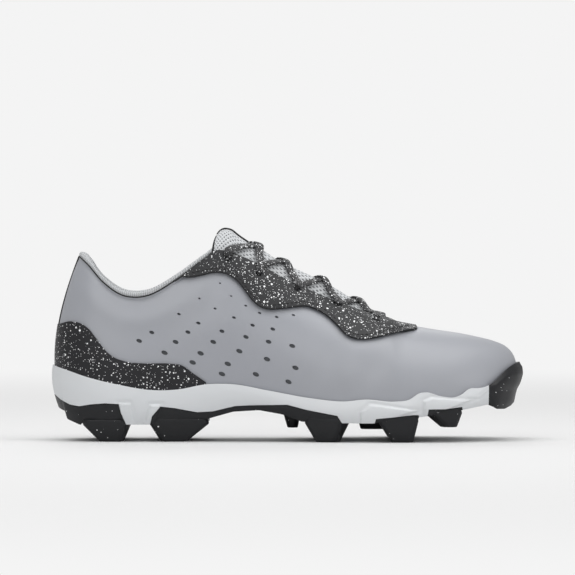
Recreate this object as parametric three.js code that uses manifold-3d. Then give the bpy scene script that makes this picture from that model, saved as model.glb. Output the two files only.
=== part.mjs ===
import * as THREE from 'three';
import { mergeVertices } from 'three/addons/utils/BufferGeometryUtils.js';
import Module from 'manifold-3d';

// Baseball cleat, right foot. Millimetres, +X to the toe, +Y to the inner side, +Z up.
const wasm = await Module();
wasm.setup();

// Driving sizes
const shoeLength = 300;
const ballWidth = 94;
const heelWidth = 64;
const heelHeight = 117;
const instepHeight = 121;
const toeHeight = 60.5;
const heelFloor = 26;
const ballFloor = 19;
const toeSpring = 9;
const upperWall = 1.8;
const overlayThickness = 1.1;
const lipThickness = 2;
const gap = 0.3;
const insoleThickness = 4;
const tongueThickness = 3.2;
const collarRoll = 3;
const collarPad = 5;
const collarDepth = 24;
const eyeletRadius = 2.2;
const eyeletDepth = 14;
const laceWidth = 5.6;
const laceThickness = 2.2;
const edgeReach = 1.8;
const bellyReach = 1.4;
const panelRise = 0.9;
const studReach = 3.4;
const studCorner = 2.5;
const studRoot = 3;
const rootTaper = 1;
const lipClearance = 1.2;
const tongueClearance = 0.95;
const insoleClearance = 0.8;
const collarClearance = 0.5;
const laceClearance = 1.8;
const tongueWing = 0.1;
const tongueLean = 3;
const tongueTop = 0.4;
const tongueTip = 0.74;
const barPlace = 0.698;
const wallLead = 100;
const cutReach = 5;
const hollowReach = 20;
const waistEnd = 0.3;
const ballStart = 0.7;
const archStart = 0.22;
const archEnd = 0.62;
const springStart = 0.7;

// How the side of the sole swells: shares of its height where it leads out at the lip and at the plate
const bellyShare = 0.34;
const underShare = 0.36;

// How the tongue crowns over the throat: shares of the opening
const crownLead = 0.22;
const crownFlat = 0.2;
// and the openings, in millimetres, over which it rises to its full height
const crownFrom = 8;
const crownFull = 18;
const crownSlope = 0.97;

// Mesh density
const stepsPerRow = 2;
const wallSteps = 5;
const soleSteps = 4;
const wingSteps = 2;
const crestSteps = 3;
const collarStations = 15;
const holeSides = 8;
const laceSides = 6;
const fineness = 0.02;
const searchSteps = 26;

// Steps along the loop and up the wall to read a slope by, and how many shoe lengths one round covers
const slopeStep = 0.004;
const normalStep = 0.003;
const roundPace = 2.2;

// The last: a row for each section, from the heel's centre line to the toe's.
// foot and rim are shares of the length, where the section meets the floor and the rim.
// outer and inner are the foot's shares of the half width there, on the outer and the inner side.
// rimMid is the middle of the rim and rimHalf half its opening, as shares of the same half width.
// high is the rim's share of its height: heelHeight, instepHeight or toeHeight.
// flare and rise lead the wall out and up from the floor, shoulder and drop lead it to the rim.
const last = [
  { foot: 0.020, rim: 0.059, outer: 0.000, inner: 0.000, rimMid: 0.000, rimHalf: 0.000, of: 'heel', high: 1.000,
    flare: 8, rise: 0.34, shoulder: 12, drop: 0.34 },
  { foot: 0.030, rim: 0.063, outer: 0.460, inner: 0.460, rimMid: 0.000, rimHalf: 0.270, of: 'heel', high: 0.990,
    flare: 7, rise: 0.34, shoulder: 11, drop: 0.34 },
  { foot: 0.061, rim: 0.081, outer: 0.790, inner: 0.800, rimMid: 0.000, rimHalf: 0.520, of: 'heel', high: 0.948,
    flare: 5, rise: 0.34, shoulder: 8, drop: 0.33 },
  { foot: 0.107, rim: 0.112, outer: 0.950, inner: 0.960, rimMid: 0.005, rimHalf: 0.695, of: 'heel', high: 0.858,
    flare: 4, rise: 0.34, shoulder: 6, drop: 0.32 },
  { foot: 0.165, rim: 0.155, outer: 0.990, inner: 0.990, rimMid: 0.005, rimHalf: 0.815, of: 'heel', high: 0.789,
    flare: 4, rise: 0.34, shoulder: 4, drop: 0.32 },
  { foot: 0.228, rim: 0.207, outer: 0.970, inner: 0.930, rimMid: 0.000, rimHalf: 0.850, of: 'heel', high: 0.792,
    flare: 5, rise: 0.34, shoulder: 3, drop: 0.32 },
  { foot: 0.290, rim: 0.265, outer: 0.930, inner: 0.840, rimMid: 0.000, rimHalf: 0.790, of: 'heel', high: 0.876,
    flare: 6, rise: 0.34, shoulder: 5, drop: 0.30 },
  { foot: 0.343, rim: 0.323, outer: 0.900, inner: 0.760, rimMid: -0.005, rimHalf: 0.665, of: 'heel', high: 0.985,
    flare: 7, rise: 0.36, shoulder: 8, drop: 0.27 },
  { foot: 0.383, rim: 0.355, outer: 0.880, inner: 0.710, rimMid: -0.005, rimHalf: 0.555, of: 'instep', high: 0.998,
    flare: 7, rise: 0.38, shoulder: 11, drop: 0.22 },
  { foot: 0.433, rim: 0.413, outer: 0.870, inner: 0.690, rimMid: -0.005, rimHalf: 0.435, of: 'instep', high: 0.952,
    flare: 7, rise: 0.40, shoulder: 13, drop: 0.17 },
  { foot: 0.513, rim: 0.500, outer: 0.900, inner: 0.740, rimMid: 0.000, rimHalf: 0.320, of: 'instep', high: 0.838,
    flare: 6, rise: 0.44, shoulder: 17, drop: 0.14 },
  { foot: 0.590, rim: 0.583, outer: 0.960, inner: 0.850, rimMid: 0.010, rimHalf: 0.240, of: 'instep', high: 0.743,
    flare: 5, rise: 0.48, shoulder: 20, drop: 0.11 },
  { foot: 0.660, rim: 0.660, outer: 1.000, inner: 0.960, rimMid: 0.022, rimHalf: 0.215, of: 'instep', high: 0.672,
    flare: 5, rise: 0.52, shoulder: 24, drop: 0.08 },
  { foot: 0.715, rim: 0.714, outer: 1.000, inner: 1.020, rimMid: 0.040, rimHalf: 0.185, of: 'instep', high: 0.633,
    flare: 5, rise: 0.55, shoulder: 25, drop: 0.04 },
  { foot: 0.752, rim: 0.738, outer: 0.990, inner: 1.045, rimMid: 0.045, rimHalf: 0.000, of: 'instep', high: 0.613,
    flare: 5, rise: 0.56, shoulder: 27, drop: 0 },
  { foot: 0.815, rim: 0.808, outer: 0.930, inner: 1.040, rimMid: 0.065, rimHalf: 0.000, of: 'toe', high: 1.165,
    flare: 5, rise: 0.56, shoulder: 27, drop: 0 },
  { foot: 0.876, rim: 0.866, outer: 0.780, inner: 0.960, rimMid: 0.090, rimHalf: 0.000, of: 'toe', high: 1.120,
    flare: 5, rise: 0.54, shoulder: 24, drop: 0 },
  { foot: 0.923, rim: 0.913, outer: 0.560, inner: 0.820, rimMid: 0.120, rimHalf: 0.000, of: 'toe', high: 1.070,
    flare: 5, rise: 0.50, shoulder: 20, drop: 0.02 },
  { foot: 0.953, rim: 0.941, outer: 0.280, inner: 0.600, rimMid: 0.150, rimHalf: 0.000, of: 'toe', high: 1.030,
    flare: 6, rise: 0.46, shoulder: 15, drop: 0.06 },
  { foot: 0.966, rim: 0.953, outer: 0.040, inner: 0.380, rimMid: 0.165, rimHalf: 0.000, of: 'toe', high: 1.008,
    flare: 7, rise: 0.42, shoulder: 12, drop: 0.12 },
  { foot: 0.970, rim: 0.957, outer: -0.175, inner: 0.175, rimMid: 0.175, rimHalf: 0.000, of: 'toe', high: 1.000,
    flare: 8, rise: 0.40, shoulder: 11, drop: 0.15 },
];

// Side lines: along is a share of the length, high a share of the size named for the line.
// The sole's lip, where it laps the upper, over heelFloor.
const lipLine = [
  { along: 0.000, high: 1.85 }, { along: 0.030, high: 1.75 }, { along: 0.075, high: 1.58 },
  { along: 0.140, high: 1.40 }, { along: 0.215, high: 1.26 }, { along: 0.265, high: 1.27 },
  { along: 0.330, high: 1.40 }, { along: 0.385, high: 1.40 }, { along: 0.460, high: 1.25 },
  { along: 0.550, high: 1.07 }, { along: 0.620, high: 1.00 }, { along: 0.665, high: 1.05 },
  { along: 0.725, high: 1.00 }, { along: 0.757, high: 1.05 }, { along: 0.778, high: 1.20 },
  { along: 0.792, high: 1.22 }, { along: 0.825, high: 1.12 }, { along: 0.857, high: 1.11 },
  { along: 0.868, high: 1.17 }, { along: 0.882, high: 1.29 }, { along: 0.905, high: 1.31 },
  { along: 0.925, high: 1.37 }, { along: 0.945, high: 1.54 }, { along: 0.965, high: 1.75 },
  { along: 0.985, high: 1.88 }, { along: 1.000, high: 1.92 },
];
// Where the white midsole ends and the dark rubber starts, over heelFloor.
const splitLine = [
  { along: -0.020, high: 1.20 }, { along: 0.000, high: 1.17 }, { along: 0.020, high: 1.00 },
  { along: 0.040, high: 0.89 }, { along: 0.060, high: 0.85 }, { along: 0.085, high: 0.90 },
  { along: 0.115, high: 0.93 }, { along: 0.144, high: 0.91 }, { along: 0.149, high: 0.69 },
  { along: 0.162, high: 0.51 }, { along: 0.180, high: 0.51 }, { along: 0.209, high: 0.50 },
  { along: 0.214, high: 0.61 }, { along: 0.232, high: 0.85 }, { along: 0.263, high: 0.81 },
  { along: 0.310, high: 0.71 }, { along: 0.342, high: 0.73 }, { along: 0.390, high: 0.86 },
  { along: 0.420, high: 0.88 }, { along: 0.500, high: 0.90 }, { along: 0.540, high: 0.78 },
  { along: 0.605, high: 0.64 }, { along: 0.616, high: 0.58 }, { along: 0.640, high: 0.58 },
  { along: 0.682, high: 0.60 }, { along: 0.690, high: 0.62 }, { along: 0.726, high: 0.64 },
  { along: 0.790, high: 0.72 }, { along: 0.797, high: 0.80 }, { along: 0.832, high: 0.81 },
  { along: 0.870, high: 0.87 }, { along: 0.920, high: 0.99 }, { along: 0.9245, high: 0.99 },
  { along: 0.9265, high: 2.60 }, { along: 1.020, high: 2.60 },
];
// The underside of the plate, over heelFloor.
const plateLine = [
  { along: 0.000, high: 0.90 }, { along: 0.015, high: 0.80 }, { along: 0.029, high: 0.73 },
  { along: 0.034, high: 0.54 }, { along: 0.063, high: 0.40 }, { along: 0.067, high: 0.45 },
  { along: 0.120, high: 0.42 }, { along: 0.250, high: 0.42 }, { along: 0.310, high: 0.48 },
  { along: 0.345, high: 0.60 }, { along: 0.385, high: 0.73 }, { along: 0.440, high: 0.77 },
  { along: 0.490, high: 0.67 }, { along: 0.530, high: 0.50 }, { along: 0.600, high: 0.47 },
  { along: 0.680, high: 0.47 }, { along: 0.730, high: 0.53 }, { along: 0.780, high: 0.62 },
  { along: 0.840, high: 0.72 }, { along: 0.890, high: 0.83 }, { along: 0.925, high: 0.90 },
  { along: 0.938, high: 0.79 }, { along: 0.955, high: 0.78 }, { along: 0.968, high: 0.85 },
  { along: 1.000, high: 1.20 },
];
// The top of the heel counter, over heelHeight.
const counterLine = [
  { along: -0.010, high: 0.625 }, { along: 0.012, high: 0.632 }, { along: 0.041, high: 0.650 },
  { along: 0.062, high: 0.640 }, { along: 0.080, high: 0.610 }, { along: 0.096, high: 0.560 },
  { along: 0.112, high: 0.505 }, { along: 0.130, high: 0.464 }, { along: 0.160, high: 0.434 },
  { along: 0.193, high: 0.425 }, { along: 0.250, high: 0.423 }, { along: 0.279, high: 0.411 },
  { along: 0.301, high: 0.370 }, { along: 0.325, high: 0.327 }, { along: 0.340, high: 0.300 },
];
// The lower edge of the eyestay, over instepHeight.
const eyestayLine = [
  { along: 0.262, high: 0.880 }, { along: 0.292, high: 0.866 }, { along: 0.320, high: 0.876 },
  { along: 0.345, high: 0.890 }, { along: 0.362, high: 0.889 }, { along: 0.380, high: 0.872 },
  { along: 0.396, high: 0.842 }, { along: 0.411, high: 0.798 }, { along: 0.426, high: 0.747 },
  { along: 0.442, high: 0.713 }, { along: 0.462, high: 0.698 }, { along: 0.485, high: 0.701 },
  { along: 0.512, high: 0.708 }, { along: 0.540, high: 0.712 }, { along: 0.562, high: 0.695 },
  { along: 0.582, high: 0.666 }, { along: 0.603, high: 0.621 }, { along: 0.623, high: 0.569 },
  { along: 0.641, high: 0.547 }, { along: 0.660, high: 0.543 }, { along: 0.686, high: 0.551 },
  { along: 0.712, high: 0.566 }, { along: 0.740, high: 0.580 }, { along: 0.770, high: 0.592 },
];
// The crest of the tongue, over instepHeight.
const tongueLine = [
  { along: 0.340, high: 1.112 }, { along: 0.362, high: 1.105 }, { along: 0.384, high: 1.088 },
  { along: 0.420, high: 1.031 }, { along: 0.455, high: 0.988 }, { along: 0.481, high: 0.941 },
  { along: 0.518, high: 0.900 }, { along: 0.553, high: 0.860 }, { along: 0.600, high: 0.800 },
  { along: 0.650, high: 0.722 }, { along: 0.700, high: 0.652 }, { along: 0.730, high: 0.617 },
];
// Eyelets on each side: along and high in side view, as shares of length and instepHeight.
const eyelets = [
  { along: 0.374, high: 0.953 }, { along: 0.439, high: 0.875 }, { along: 0.518, high: 0.795 },
  { along: 0.604, high: 0.711 }, { along: 0.687, high: 0.630 },
];

// Raised panels on the side of the midsole, by their corners: along, and high over heelFloor.
const sidePanels = [
  { name: 'heel gap, rear', corners: [
    { along: 0.144, high: 0.95 }, { along: 0.167, high: 0.95 },
    { along: 0.177, high: 0.35 }, { along: 0.153, high: 0.35 },
  ] },
  { name: 'heel gap, front', corners: [
    { along: 0.211, high: 0.91 }, { along: 0.233, high: 0.91 },
    { along: 0.220, high: 0.35 }, { along: 0.194, high: 0.35 },
  ] },
  { name: 'ball, lower step', corners: [
    { along: 0.653, high: 0.40 }, { along: 0.655, high: 0.77 },
    { along: 0.677, high: 0.94 }, { along: 0.773, high: 0.79 },
  ] },
  { name: 'forefoot, lower step', corners: [
    { along: 0.790, high: 0.70 }, { along: 0.787, high: 1.03 },
    { along: 0.807, high: 1.09 }, { along: 0.873, high: 1.03 },
  ] },
];

// Studs on both edges: shares of the length at the plate and at the ground, and the foot's height.
const studs = [
  { rear: 0.067, front: 0.162, footRear: 0.102, footFront: 0.149, ground: 0, deep: 19 },
  { rear: 0.210, front: 0.335, footRear: 0.234, footFront: 0.288, ground: 0, deep: 18 },
  { rear: 0.536, front: 0.618, footRear: 0.558, footFront: 0.602, ground: 0, deep: 19 },
  { rear: 0.690, front: 0.776, footRear: 0.719, footFront: 0.765, ground: 0, deep: 19 },
  { rear: 0.802, front: 0.868, footRear: 0.832, footFront: 0.860, ground: 9.5, deep: 17 },
];
// Low studs on the centre line.
const centreStuds = [
  { rear: 0.490, front: 0.528, footRear: 0.500, footFront: 0.522, ground: 8, deep: 16 },
  { rear: 0.648, front: 0.714, footRear: 0.655, footFront: 0.708, ground: 7, deep: 18 },
];

// A half crossing of the lace over the tongue: share of the way from its lower eyelet to the higher one,
// and share of the way across to the far edge of the throat.
const crossingPlaces = [
  { share: 0.36, across: -0.55 }, { share: 0.42, across: -0.34 }, { share: 0.50, across: 0 },
  { share: 0.68, across: 0.34 }, { share: 0.80, across: 0.67 },
];
const crossingRim = 0.92;
const crossingStop = 0.62;
const crossingTilt = 0.75;
const barTilt = 0.4;

// The collar's outline: above the rim by a share of collarRoll, below it by a share of collarDepth,
// and out from the wall or from the lining's face by a share of collarPad.
const collarOutline = [
  { from: 'wall', roll: 0.10, depth: 0, out: 0 }, { from: 'wall', roll: 0.55, depth: 0, out: 0.14 },
  { from: 'wall', roll: 1.00, depth: 0, out: -0.16 }, { from: 'lining', roll: 0.95, depth: 0, out: -0.42 },
  { from: 'lining', roll: 0.20, depth: 0, out: -0.93 }, { from: 'lining', roll: 0, depth: 0.3, out: -1 },
  { from: 'lining', roll: 0, depth: 0.7, out: -0.8 }, { from: 'lining', roll: 0, depth: 1, out: -0.3 },
  { from: 'lining', roll: 0, depth: 1, out: 0 }, { from: 'lining', roll: 0, depth: 0.5, out: 0 },
  { from: 'lining', roll: 0, depth: 0, out: 0 }, { from: 'lining', roll: 0.10, depth: 0, out: 0 },
];

// Colours
const material = {
  rubber: new THREE.MeshStandardMaterial({ color: 0x26272a, roughness: 0.55, metalness: 0 }),
  foam: new THREE.MeshStandardMaterial({ color: 0xdadcde, roughness: 0.5, metalness: 0 }),
  synthetic: new THREE.MeshStandardMaterial({ color: 0xa9abb1, roughness: 0.45, metalness: 0 }),
  speckled: new THREE.MeshStandardMaterial({ color: 0x3c3d40, roughness: 0.6, metalness: 0 }),
  mesh: new THREE.MeshStandardMaterial({ color: 0xc9cbcd, roughness: 0.9, metalness: 0 }),
  lace: new THREE.MeshStandardMaterial({ color: 0x242426, roughness: 0.8, metalness: 0 }),
};

// A smooth curve through the rows of a table, read by a column
function through(values, at) {
  const count = values.length;
  const i = Math.min(Math.max(Math.floor(at), 0), count - 2);
  const t = at - i;
  const a = values[Math.max(i - 1, 0)];
  const b = values[i];
  const c = values[i + 1];
  const d = values[Math.min(i + 2, count - 1)];
  return b + 0.5 * t * (c - a + t * (2 * a - 5 * b + 4 * c - d + t * (3 * (b - c) + d - a)));
}

// The height of a side line at a share of the length
function lineHeight(line, along, size) {
  const end = line.length - 1;
  if (along <= line[0].along) return line[0].high * size;
  if (along >= line[end].along) return line[end].high * size;
  let i = 0;
  while (line[i + 1].along < along) i += 1;
  const share = (along - line[i].along) / (line[i + 1].along - line[i].along);
  return THREE.MathUtils.lerp(line[i].high, line[i + 1].high, share) * size;
}

function halfWidth(along) {
  const blend = THREE.MathUtils.smoothstep(along, waistEnd, ballStart);
  return THREE.MathUtils.lerp(heelWidth, ballWidth, blend) / 2;
}

function floorHeight(along) {
  const down = THREE.MathUtils.smoothstep(along, archStart, archEnd);
  const up = THREE.MathUtils.clamp((along - springStart) / (1 - springStart), 0, 1);
  return THREE.MathUtils.lerp(heelFloor, ballFloor, down) + toeSpring * up * up;
}

// The loop of sections: round runs from 0 at the heel, along the outer side to the toe at 1,
// and back along the inner side to the heel at 2.
const rimSize = { heel: heelHeight, instep: instepHeight, toe: toeHeight };
const outerRows = last.map((row) => sectionRow(row, 'outer', -1));
const innerRows = last.map((row) => sectionRow(row, 'inner', 1));
const loopRows = [...outerRows, ...innerRows.slice(1, -1).reverse()];

function sectionRow(row, side, sign) {
  const footHalf = halfWidth(row.foot);
  const rimHalf = halfWidth(row.rim);
  return {
    footX: row.foot * shoeLength,
    footY: sign * row[side] * footHalf,
    footZ: floorHeight(row.foot),
    rimX: row.rim * shoeLength,
    rimMid: row.rimMid * rimHalf,
    rimHalf: sign * row.rimHalf * rimHalf,
    rimZ: row.high * rimSize[row.of],
    flare: row.flare,
    rise: row.rise,
    shoulder: row.shoulder,
    drop: row.drop,
  };
}

function wrap(round) {
  return ((round % 2) + 2) % 2;
}

function loopValue(column, round) {
  const count = loopRows.length;
  const at = wrap(round) / 2 * count;
  const i = Math.floor(at);
  const four = [i - 1, i, i + 1, i + 2].map((k) => loopRows[(k + count) % count][column]);
  return through([four[0], four[1], four[2], four[3]], 1 + at - i);
}

// One section of the last: its foot, its rim and the two points that lead the wall between them
function section(round) {
  const read = (column) => loopValue(column, round);
  const foot = new THREE.Vector3(read('footX'), read('footY'), read('footZ'));
  const half = wrap(round) < 1 ? Math.min(read('rimHalf'), 0) : Math.max(read('rimHalf'), 0);
  const rim = new THREE.Vector3(read('rimX'), read('rimMid') + half, read('rimZ'));
  const alongX = loopValue('footX', round + slopeStep) - loopValue('footX', round - slopeStep);
  const alongY = loopValue('footY', round + slopeStep) - loopValue('footY', round - slopeStep);
  const out = new THREE.Vector3(alongY, -alongX, 0).normalize();
  const height = rim.z - foot.z;
  const up = new THREE.Vector3(0, 0, 1);
  const low = foot.clone().addScaledVector(out, read('flare')).addScaledVector(up, read('rise') * height);
  const high = rim.clone().addScaledVector(out, read('shoulder')).addScaledVector(up, -read('drop') * height);
  return { foot, rim, low, high, out };
}

// A point on the wall: up is 0 at the foot and 1 at the rim, and past 1 it goes straight on
function bare(round, up) {
  const { foot, rim, low, high } = section(round);
  const curve = new THREE.CubicBezierCurve3(foot, low, high, rim);
  if (up <= 1) return curve.getPoint(up);
  return rim.clone().addScaledVector(rim.clone().sub(high).normalize(), (up - 1) * wallLead);
}

// In front of the throat the two sides meet on one ridge
function onRidge(round) {
  const forward = Math.abs(wrap(round) - 1) < 0.5;
  return forward && Math.abs(section(round).rim.y - section(2 - round).rim.y) < 1e-6;
}

function wallNormal(round, up) {
  const at = THREE.MathUtils.clamp(up, normalStep, 1 - normalStep);
  const along = bare(round + normalStep, at).sub(bare(round - normalStep, at));
  const rising = bare(round, at + normalStep).sub(bare(round, at - normalStep));
  return along.cross(rising).normalize();
}

function wall(round, up, offset) {
  const normal = wallNormal(round, up);
  const onCentre = Math.abs(wrap(round + 0.5) % 1 - 0.5) < 1e-6;
  const shared = onCentre || (up > 0.999 && onRidge(round));
  if (shared) normal.add(wallNormal(2 - round, up)).normalize();
  return bare(round, up).addScaledVector(normal, offset);
}

// How far up the wall meets a side line
function crossing(round, heightAt, offset = 0) {
  let low = 0;
  let high = 1;
  const above = (up) => {
    const point = wall(round, up, offset);
    return point.z - heightAt(point.x / shoeLength);
  };
  if (above(1) < 0) return 1;
  for (let i = 0; i < searchSteps; i += 1) {
    const middle = (low + high) / 2;
    if (above(middle) > 0) high = middle;
    else low = middle;
  }
  return (low + high) / 2;
}

// Where a rim or foot reaches a share of the length, on the outer half of the loop
function roundAt(column, along) {
  let low = 0;
  let high = 1;
  for (let i = 0; i < searchSteps; i += 1) {
    const middle = (low + high) / 2;
    if (loopValue(column, middle) < along * shoeLength) low = middle;
    else high = middle;
  }
  return (low + high) / 2;
}

// A closed solid from triangles given as points
class Skin {
  constructor() {
    this.positions = [];
  }

  triangle(a, b, c) {
    for (const p of [a, b, c]) this.positions.push(p.x, p.y, p.z);
  }

  quad(a, b, c, d) {
    this.triangle(a, b, c);
    this.triangle(a, c, d);
  }

  // Rows of points, each row the same length; closed joins the last row to the first
  sheet(rows, closed = false) {
    const end = closed ? rows.length : rows.length - 1;
    for (let i = 0; i < end; i += 1) {
      const here = rows[i];
      const next = rows[(i + 1) % rows.length];
      for (let j = 0; j < here.length - 1; j += 1) this.quad(here[j], next[j], next[j + 1], here[j + 1]);
    }
  }

  geometry() {
    const raw = new THREE.BufferGeometry();
    raw.setAttribute('position', new THREE.Float32BufferAttribute(this.positions, 3));
    const merged = mergeVertices(raw, 1e-3);
    const index = merged.index.array;
    const kept = [];
    for (let i = 0; i < index.length; i += 3) {
      const [a, b, c] = [index[i], index[i + 1], index[i + 2]];
      if (a !== b && b !== c && c !== a) kept.push(a, b, c);
    }
    merged.setIndex(kept);
    return outward(merged);
  }
}

// Turns a closed geometry so that its faces point out
function outward(geometry) {
  const position = geometry.attributes.position;
  const index = geometry.index.array;
  const [a, b, c] = [new THREE.Vector3(), new THREE.Vector3(), new THREE.Vector3()];
  let volume = 0;
  for (let i = 0; i < index.length; i += 3) {
    a.fromBufferAttribute(position, index[i]);
    b.fromBufferAttribute(position, index[i + 1]);
    c.fromBufferAttribute(position, index[i + 2]);
    volume += a.dot(b.cross(c));
  }
  if (volume < 0) {
    for (let i = 0; i < index.length; i += 3) [index[i], index[i + 1]] = [index[i + 1], index[i]];
  }
  return geometry;
}

function toSolid(geometry) {
  const plain = geometry.clone();
  plain.deleteAttribute('normal');
  plain.deleteAttribute('uv');
  const merged = mergeVertices(plain, 1e-4);
  const mesh = new wasm.Mesh({
    numProp: 3,
    vertProperties: new Float32Array(merged.attributes.position.array),
    triVerts: new Uint32Array(merged.index.array),
  });
  return new wasm.Manifold(mesh);
}

function toGeometry(solid) {
  const mesh = solid.simplify(fineness).getMesh();
  const geometry = new THREE.BufferGeometry();
  geometry.setAttribute('position', new THREE.BufferAttribute(mesh.vertProperties, 3));
  geometry.setIndex(new THREE.BufferAttribute(mesh.triVerts, 1));
  return geometry;
}

// Stations round the whole loop, shared by every piece that follows the last
const perSide = (last.length - 1) * stepsPerRow;
const loopRounds = Array.from({ length: 2 * perSide }, (_, i) => i / perSide);

// The shell between two offsets of the wall, for a list of stations and its lower and upper edges
function shell(rounds, lowAt, highAt, inner, outer, steps, closed) {
  const skin = new Skin();
  const column = (round, offset) => {
    const low = lowAt(round);
    const high = highAt(round);
    return Array.from({ length: steps + 1 }, (_, i) => wall(round, low + (high - low) * i / steps, offset));
  };
  const outside = rounds.map((round) => column(round, outer));
  const inside = rounds.map((round) => column(round, inner));
  skin.sheet(outside, closed);
  skin.sheet(inside.map((points) => [...points].reverse()), closed);
  const count = rounds.length;
  for (let i = 0; i < (closed ? count : count - 1); i += 1) {
    const next = (i + 1) % count;
    skin.quad(inside[i][0], inside[next][0], outside[next][0], outside[i][0]);
    const joined = highAt(rounds[i]) > 0.999 && highAt(rounds[next]) > 0.999
      && onRidge(rounds[i]) && onRidge(rounds[next]);
    if (joined) continue;
    skin.quad(outside[i][steps], outside[next][steps], inside[next][steps], inside[i][steps]);
  }
  if (!closed) {
    for (let j = 0; j < steps; j += 1) {
      skin.quad(outside[0][j], outside[0][j + 1], inside[0][j + 1], inside[0][j]);
      const end = count - 1;
      skin.quad(inside[end][j], inside[end][j + 1], outside[end][j + 1], outside[end][j]);
    }
  }
  return skin.geometry();
}

// The whole last as one filled form, a given distance out from the wall: only a cutter.
// It reaches sunk below the foot, and above past the rim where the rim is open.
function lastForm(offset, sunk, above) {
  const skin = new Skin();
  const columns = loopRounds.map((round) => {
    const points = [];
    for (let i = 0; i <= wallSteps; i += 1) points.push(wall(round, i / wallSteps, offset));
    const foot = points[0].clone();
    foot.z -= sunk;
    const top = onRidge(round) ? points[wallSteps].clone() : wall(round, 1 + above / wallLead, offset);
    return [foot, ...points, top];
  });
  skin.sheet(columns, true);
  const count = columns.length;
  const mirror = (k) => columns[(count - k) % count];
  for (let i = 0; i < perSide; i += 1) {
    for (const level of [0, wallSteps + 2]) {
      const four = [columns[i][level], mirror(i)[level], mirror(i + 1)[level], columns[i + 1][level]];
      if (level > 0) four.reverse();
      skin.quad(...four);
    }
  }
  return skin.geometry();
}

// A prism across the shoe from a side outline, given as [x, z] pairs
function sidePrism(outline) {
  const shape = new THREE.Shape(outline.map(([x, z]) => new THREE.Vector2(x, z)));
  const width = 3 * ballWidth;
  const geometry = new THREE.ExtrudeGeometry(shape, { depth: width, bevelEnabled: false });
  geometry.rotateX(Math.PI / 2);
  geometry.translate(0, width / 2, 0);
  return toSolid(geometry);
}

function linePoints(line, size) {
  return line.map((row) => [row.along * shoeLength, row.high * size]);
}

// The sole's side: down is 0 at the lip's top and 1 at the edge of the plate
function soleSide(round, down, offset = 0) {
  const { foot, out } = section(round);
  const lipAt = (along) => lineHeight(lipLine, along, heelFloor);
  const reach = gap + lipThickness;
  const lip = wall(round, crossing(round, lipAt, reach), reach);
  const edge = foot.clone().addScaledVector(out, edgeReach);
  edge.z = lineHeight(plateLine, edge.x / shoeLength, heelFloor);
  const drop = lip.z - edge.z;
  const belly = lip.clone().addScaledVector(out, bellyReach);
  belly.z -= bellyShare * drop;
  const under = edge.clone().addScaledVector(out, 2 * edgeReach);
  under.z += underShare * drop;
  const point = new THREE.CubicBezierCurve3(lip, belly, under, edge).getPoint(down);
  return point.addScaledVector(out, offset);
}

function soleForm(offset) {
  const skin = new Skin();
  const columns = loopRounds.map((round) => (
    Array.from({ length: soleSteps + 1 }, (_, i) => soleSide(round, i / soleSteps, offset))));
  skin.sheet(columns, true);
  const count = columns.length;
  const mirror = (k) => columns[(count - k) % count];
  for (let i = 0; i < perSide; i += 1) {
    for (const level of [0, soleSteps]) {
      const four = [columns[i][level], mirror(i)[level], mirror(i + 1)[level], columns[i + 1][level]];
      if (level > 0) four.reverse();
      skin.quad(...four);
    }
  }
  return toSolid(skin.geometry());
}

// A block with cut corners, lofted through levels of { z, rear, front, near, far } in a frame on the floor
function lug(centre, forward, out, levels, cut) {
  const skin = new Skin();
  const rings = levels.map(({ z, rear, front, near, far }) => {
    const outline = [
      [rear + cut, near], [front - cut, near], [front, near - cut], [front, far + cut],
      [front - cut, far], [rear + cut, far], [rear, far + cut], [rear, near - cut],
    ];
    const ring = outline.map(([ahead, aside]) => (
      new THREE.Vector3(centre.x, centre.y, z).addScaledVector(forward, ahead).addScaledVector(out, aside)));
    return [...ring, ring[0]];
  });
  skin.sheet(rings);
  const foot = rings[0];
  const top = rings[rings.length - 1];
  for (let i = 1; i < foot.length - 2; i += 1) {
    skin.triangle(foot[0], foot[i], foot[i + 1]);
    skin.triangle(top[0], top[i + 1], top[i]);
  }
  return toSolid(skin.geometry());
}

// A stud on the sole's edge; its foot stands a little inside its root
const footInset = 0.5;
const footShare = 0.72;
const centreShare = 0.8;

function edgeStud(stud, side) {
  const middle = (stud.rear + stud.front) / 2;
  const half = roundAt('footX', middle);
  const { foot, out } = section(side === 'outer' ? half : 2 - half);
  const forward = new THREE.Vector3(-out.y, out.x, 0);
  if (forward.x < 0) forward.negate();
  const along = (share) => (share - middle) * shoeLength / forward.x;
  const plate = lineHeight(plateLine, middle, heelFloor);
  const levels = [
    { z: stud.ground, rear: along(stud.footRear), front: along(stud.footFront),
      near: footInset, far: footInset - footShare * stud.deep },
    { z: plate, rear: along(stud.rear), front: along(stud.front), near: studReach, far: -stud.deep },
    { z: plate + studRoot, rear: along(stud.rear) + rootTaper, front: along(stud.front) - rootTaper,
      near: studReach, far: -stud.deep },
  ];
  return lug(foot, forward, out, levels, studCorner);
}

function centreStud(stud) {
  const middle = (stud.rear + stud.front) / 2;
  const half = roundAt('footX', middle);
  const centre = section(half).foot.clone().add(section(2 - half).foot).multiplyScalar(0.5);
  const forward = new THREE.Vector3(1, 0, 0);
  const out = new THREE.Vector3(0, 1, 0);
  const along = (share) => (share - middle) * shoeLength;
  const plate = lineHeight(plateLine, middle, heelFloor);
  const top = stud.deep / 2;
  const foot = centreShare * top;
  const levels = [
    { z: stud.ground, rear: along(stud.footRear), front: along(stud.footFront), near: foot, far: -foot },
    { z: plate + studRoot, rear: along(stud.rear), front: along(stud.front), near: top, far: -top },
  ];
  return lug(centre, forward, out, levels, studCorner);
}

const group = new THREE.Group();

function addPiece(name, geometry, finish) {
  const mesh = new THREE.Mesh(geometry, finish);
  mesh.name = name;
  group.add(mesh);
}

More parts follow.
